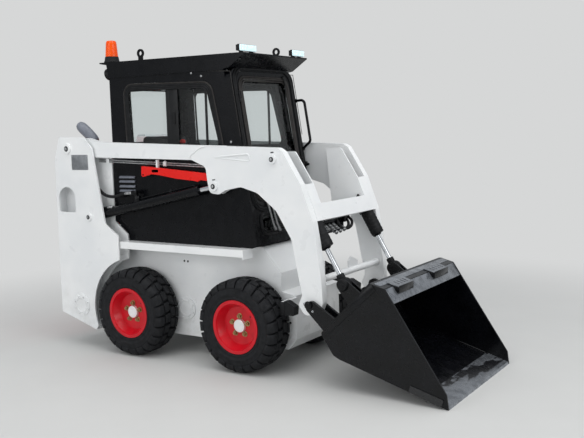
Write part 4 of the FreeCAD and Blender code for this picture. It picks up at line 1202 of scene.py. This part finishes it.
# %% Tailgate latch, louvre blades and lamps
blades = []
for index in range(6):
    z = 622 + 70 * index
    blades.append(outline("blade", [(-1454, -218, z), (-1434, -218, z + 22), (-1432, -218, z + 19),
                                    (-1452, -218, z - 3)],
                          (0, 436, 0), 0))
fit(joined("gate_louvres", blades), black_enamel, "gate", 30)
grip = [
    slab("latch_plate", (-1460, -300, 640), (-1455, -250, 760), 3),
    hose("latch_grip", [(-1458, -275, 660), (-1468, -275, 668), (-1468, -275, 732), (-1458, -275, 740)], 6,
         False),
]
fit(joined("gate_latch", grip), black_plastic, "gate")
tail_lamps = [turned("tail_lamp", [(0, 7), (20, 6), (30, 2), (32, 0), (0, 0)], (-1456, side * 250, 1110),
                     (-1, 0, 0), 32)
              for side in (-1, 1)]
fit(joined("tail_lamps", tail_lamps), strut_red, "gate")
pod_start = (-1186, -296, 1428)
pod_way = (-172, 0, 126)
pod_rows = [(0, 0), (18, 2), (27, 14), (33, 40), (36, 80), (38, 120), (38, 160), (35, 184), (28, 202),
            (16, 212), (0, 215)]
pod = turned("exhaust_pod", pod_rows, pod_start, pod_way, 40)
stack = turned("stack", [(0, 0), (24, 0), (24, 170), (0, 170)], (-1265, -296, 1290), (0, 0, 1), 32)
fit(joined("exhaust_pod", [pod, stack]), grey_heatproof, "machine", 50)
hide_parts("exhaust")
print("rear details fitted")

# %% [markdown]
# ## Studio, light and camera
# The camera stands low in front of the machine's right corner, as the photographer did. The floor
# and the world are pale, and big soft lamps stand in for an overcast sky.

# %% Camera
camera_place = point(3102, -4435, 1497)
camera_yaw = math.radians(123.03)
camera_pitch = math.radians(6.36)
camera_roll = math.radians(-1.60)
ahead = Vector((math.cos(camera_yaw) * math.cos(camera_pitch),
                math.sin(camera_yaw) * math.cos(camera_pitch),
                -math.sin(camera_pitch)))
right = Vector((math.sin(camera_yaw), -math.cos(camera_yaw), 0))
above = right.cross(ahead)
right_rolled = right * math.cos(camera_roll) + above * math.sin(camera_roll)
above_rolled = above * math.cos(camera_roll) - right * math.sin(camera_roll)
camera_data = bpy.data.cameras.new("camera")
sensor_mm = 36
focal_pixels = 831.5
picture_width = 584
camera_data.sensor_width = sensor_mm
camera_data.lens = focal_pixels / picture_width * sensor_mm
camera = bpy.data.objects.new("camera", camera_data)
camera.matrix_world = Matrix.Translation(camera_place) @ Matrix((right_rolled, above_rolled,
    -ahead)).transposed().to_4x4()
bpy.context.scene.collection.objects.link(camera)
bpy.context.scene.camera = camera

# %% Floor and world
# The floor fades into the backdrop's own tone well away from the machine, so no horizon shows. Only
# the camera and clear glass see that tone; all other light meets plain diffuse paint.
backdrop_tone = linear("#D6D7D7")


def camera_sees(tree):
    ray = add(tree, "ShaderNodeLightPath", {})
    return add(tree, "ShaderNodeMath", {"operation": "MAXIMUM"},
               {0: ray.outputs["Is Camera Ray"], 1: ray.outputs["Is Transmission Ray"]})


floor_paint, (tree, shader, place) = finish("pale_floor", {"Roughness": 0.7})
mottling = add(tree, "ShaderNodeTexNoise", {"Scale": 3.0, "Detail": 3.0}, {"Vector": place})
shade = add(tree, "ShaderNodeMix", {"data_type": "RGBA", 6: linear("#CFCFCD"), 7: linear("#CACAC8")},
            {0: mottling.outputs[0]})
tree.links.new(shade.outputs[2], shader.inputs["Base Color"])
distance = add(tree, "ShaderNodeVectorMath", {"operation": "LENGTH"}, {0: place})
far = add(tree, "ShaderNodeMapRange", {"From Min": 1.9, "From Max": 4.6,
                                       "interpolation_type": "SMOOTHSTEP"},
          {"Value": distance.outputs["Value"]})
seen = camera_sees(tree)
share = add(tree, "ShaderNodeMath", {"operation": "MULTIPLY"}, {0: far.outputs[0], 1: seen.outputs[0]})
tone = add(tree, "ShaderNodeEmission", {"Color": backdrop_tone, "Strength": 1.0})
blend = add(tree, "ShaderNodeMixShader", {}, {0: share.outputs[0], 1: shader.outputs[0],
                                              2: tone.outputs[0]})
output = next(node for node in tree.nodes if node.type == "OUTPUT_MATERIAL")
tree.links.new(blend.outputs[0], output.inputs["Surface"])
fresh()
bpy.ops.mesh.primitive_plane_add(size=80, location=(0, 0, 0))
floor = named("floor")
floor.data.materials.append(floor_paint)

world = bpy.data.worlds.new("studio")
bpy.context.scene.world = world
world.use_nodes = True
tree = world.node_tree
tree.nodes.clear()
soft_sky = add(tree, "ShaderNodeBackground", {"Color": linear("#E6EAEE"), "Strength": 0.55})
backdrop = add(tree, "ShaderNodeBackground", {"Color": backdrop_tone, "Strength": 1.0})
seen = camera_sees(tree)
either = add(tree, "ShaderNodeMixShader", {}, {0: seen.outputs[0], 1: soft_sky.outputs[0],
                                               2: backdrop.outputs[0]})
add(tree, "ShaderNodeOutputWorld", {}, {"Surface": either.outputs[0]})
bpy.context.scene.view_settings.view_transform = "Standard"


# %% Softboxes
def softbox(name, place, target, size, power):
    lamp_data = bpy.data.lights.new(name, "AREA")
    lamp_data.shape = "RECTANGLE"
    lamp_data.size, lamp_data.size_y = size
    lamp_data.energy = power
    lamp = bpy.data.objects.new(name, lamp_data)
    lamp.location = place
    lamp.rotation_euler = (Vector(target) - Vector(place)).to_track_quat("-Z", "Y").to_euler()
    bpy.context.scene.collection.objects.link(lamp)


softbox("overhead", (0.5, -0.8, 6.0), (0, 0, 0.8), (7, 6), 240)
softbox("side", (-1.5, -7.0, 3.2), (-0.2, 0, 0.9), (6, 4), 115)
softbox("front", (7.0, -1.0, 3.0), (0.6, 0, 0.7), (5, 4), 140)
print("camera and lamps are set")
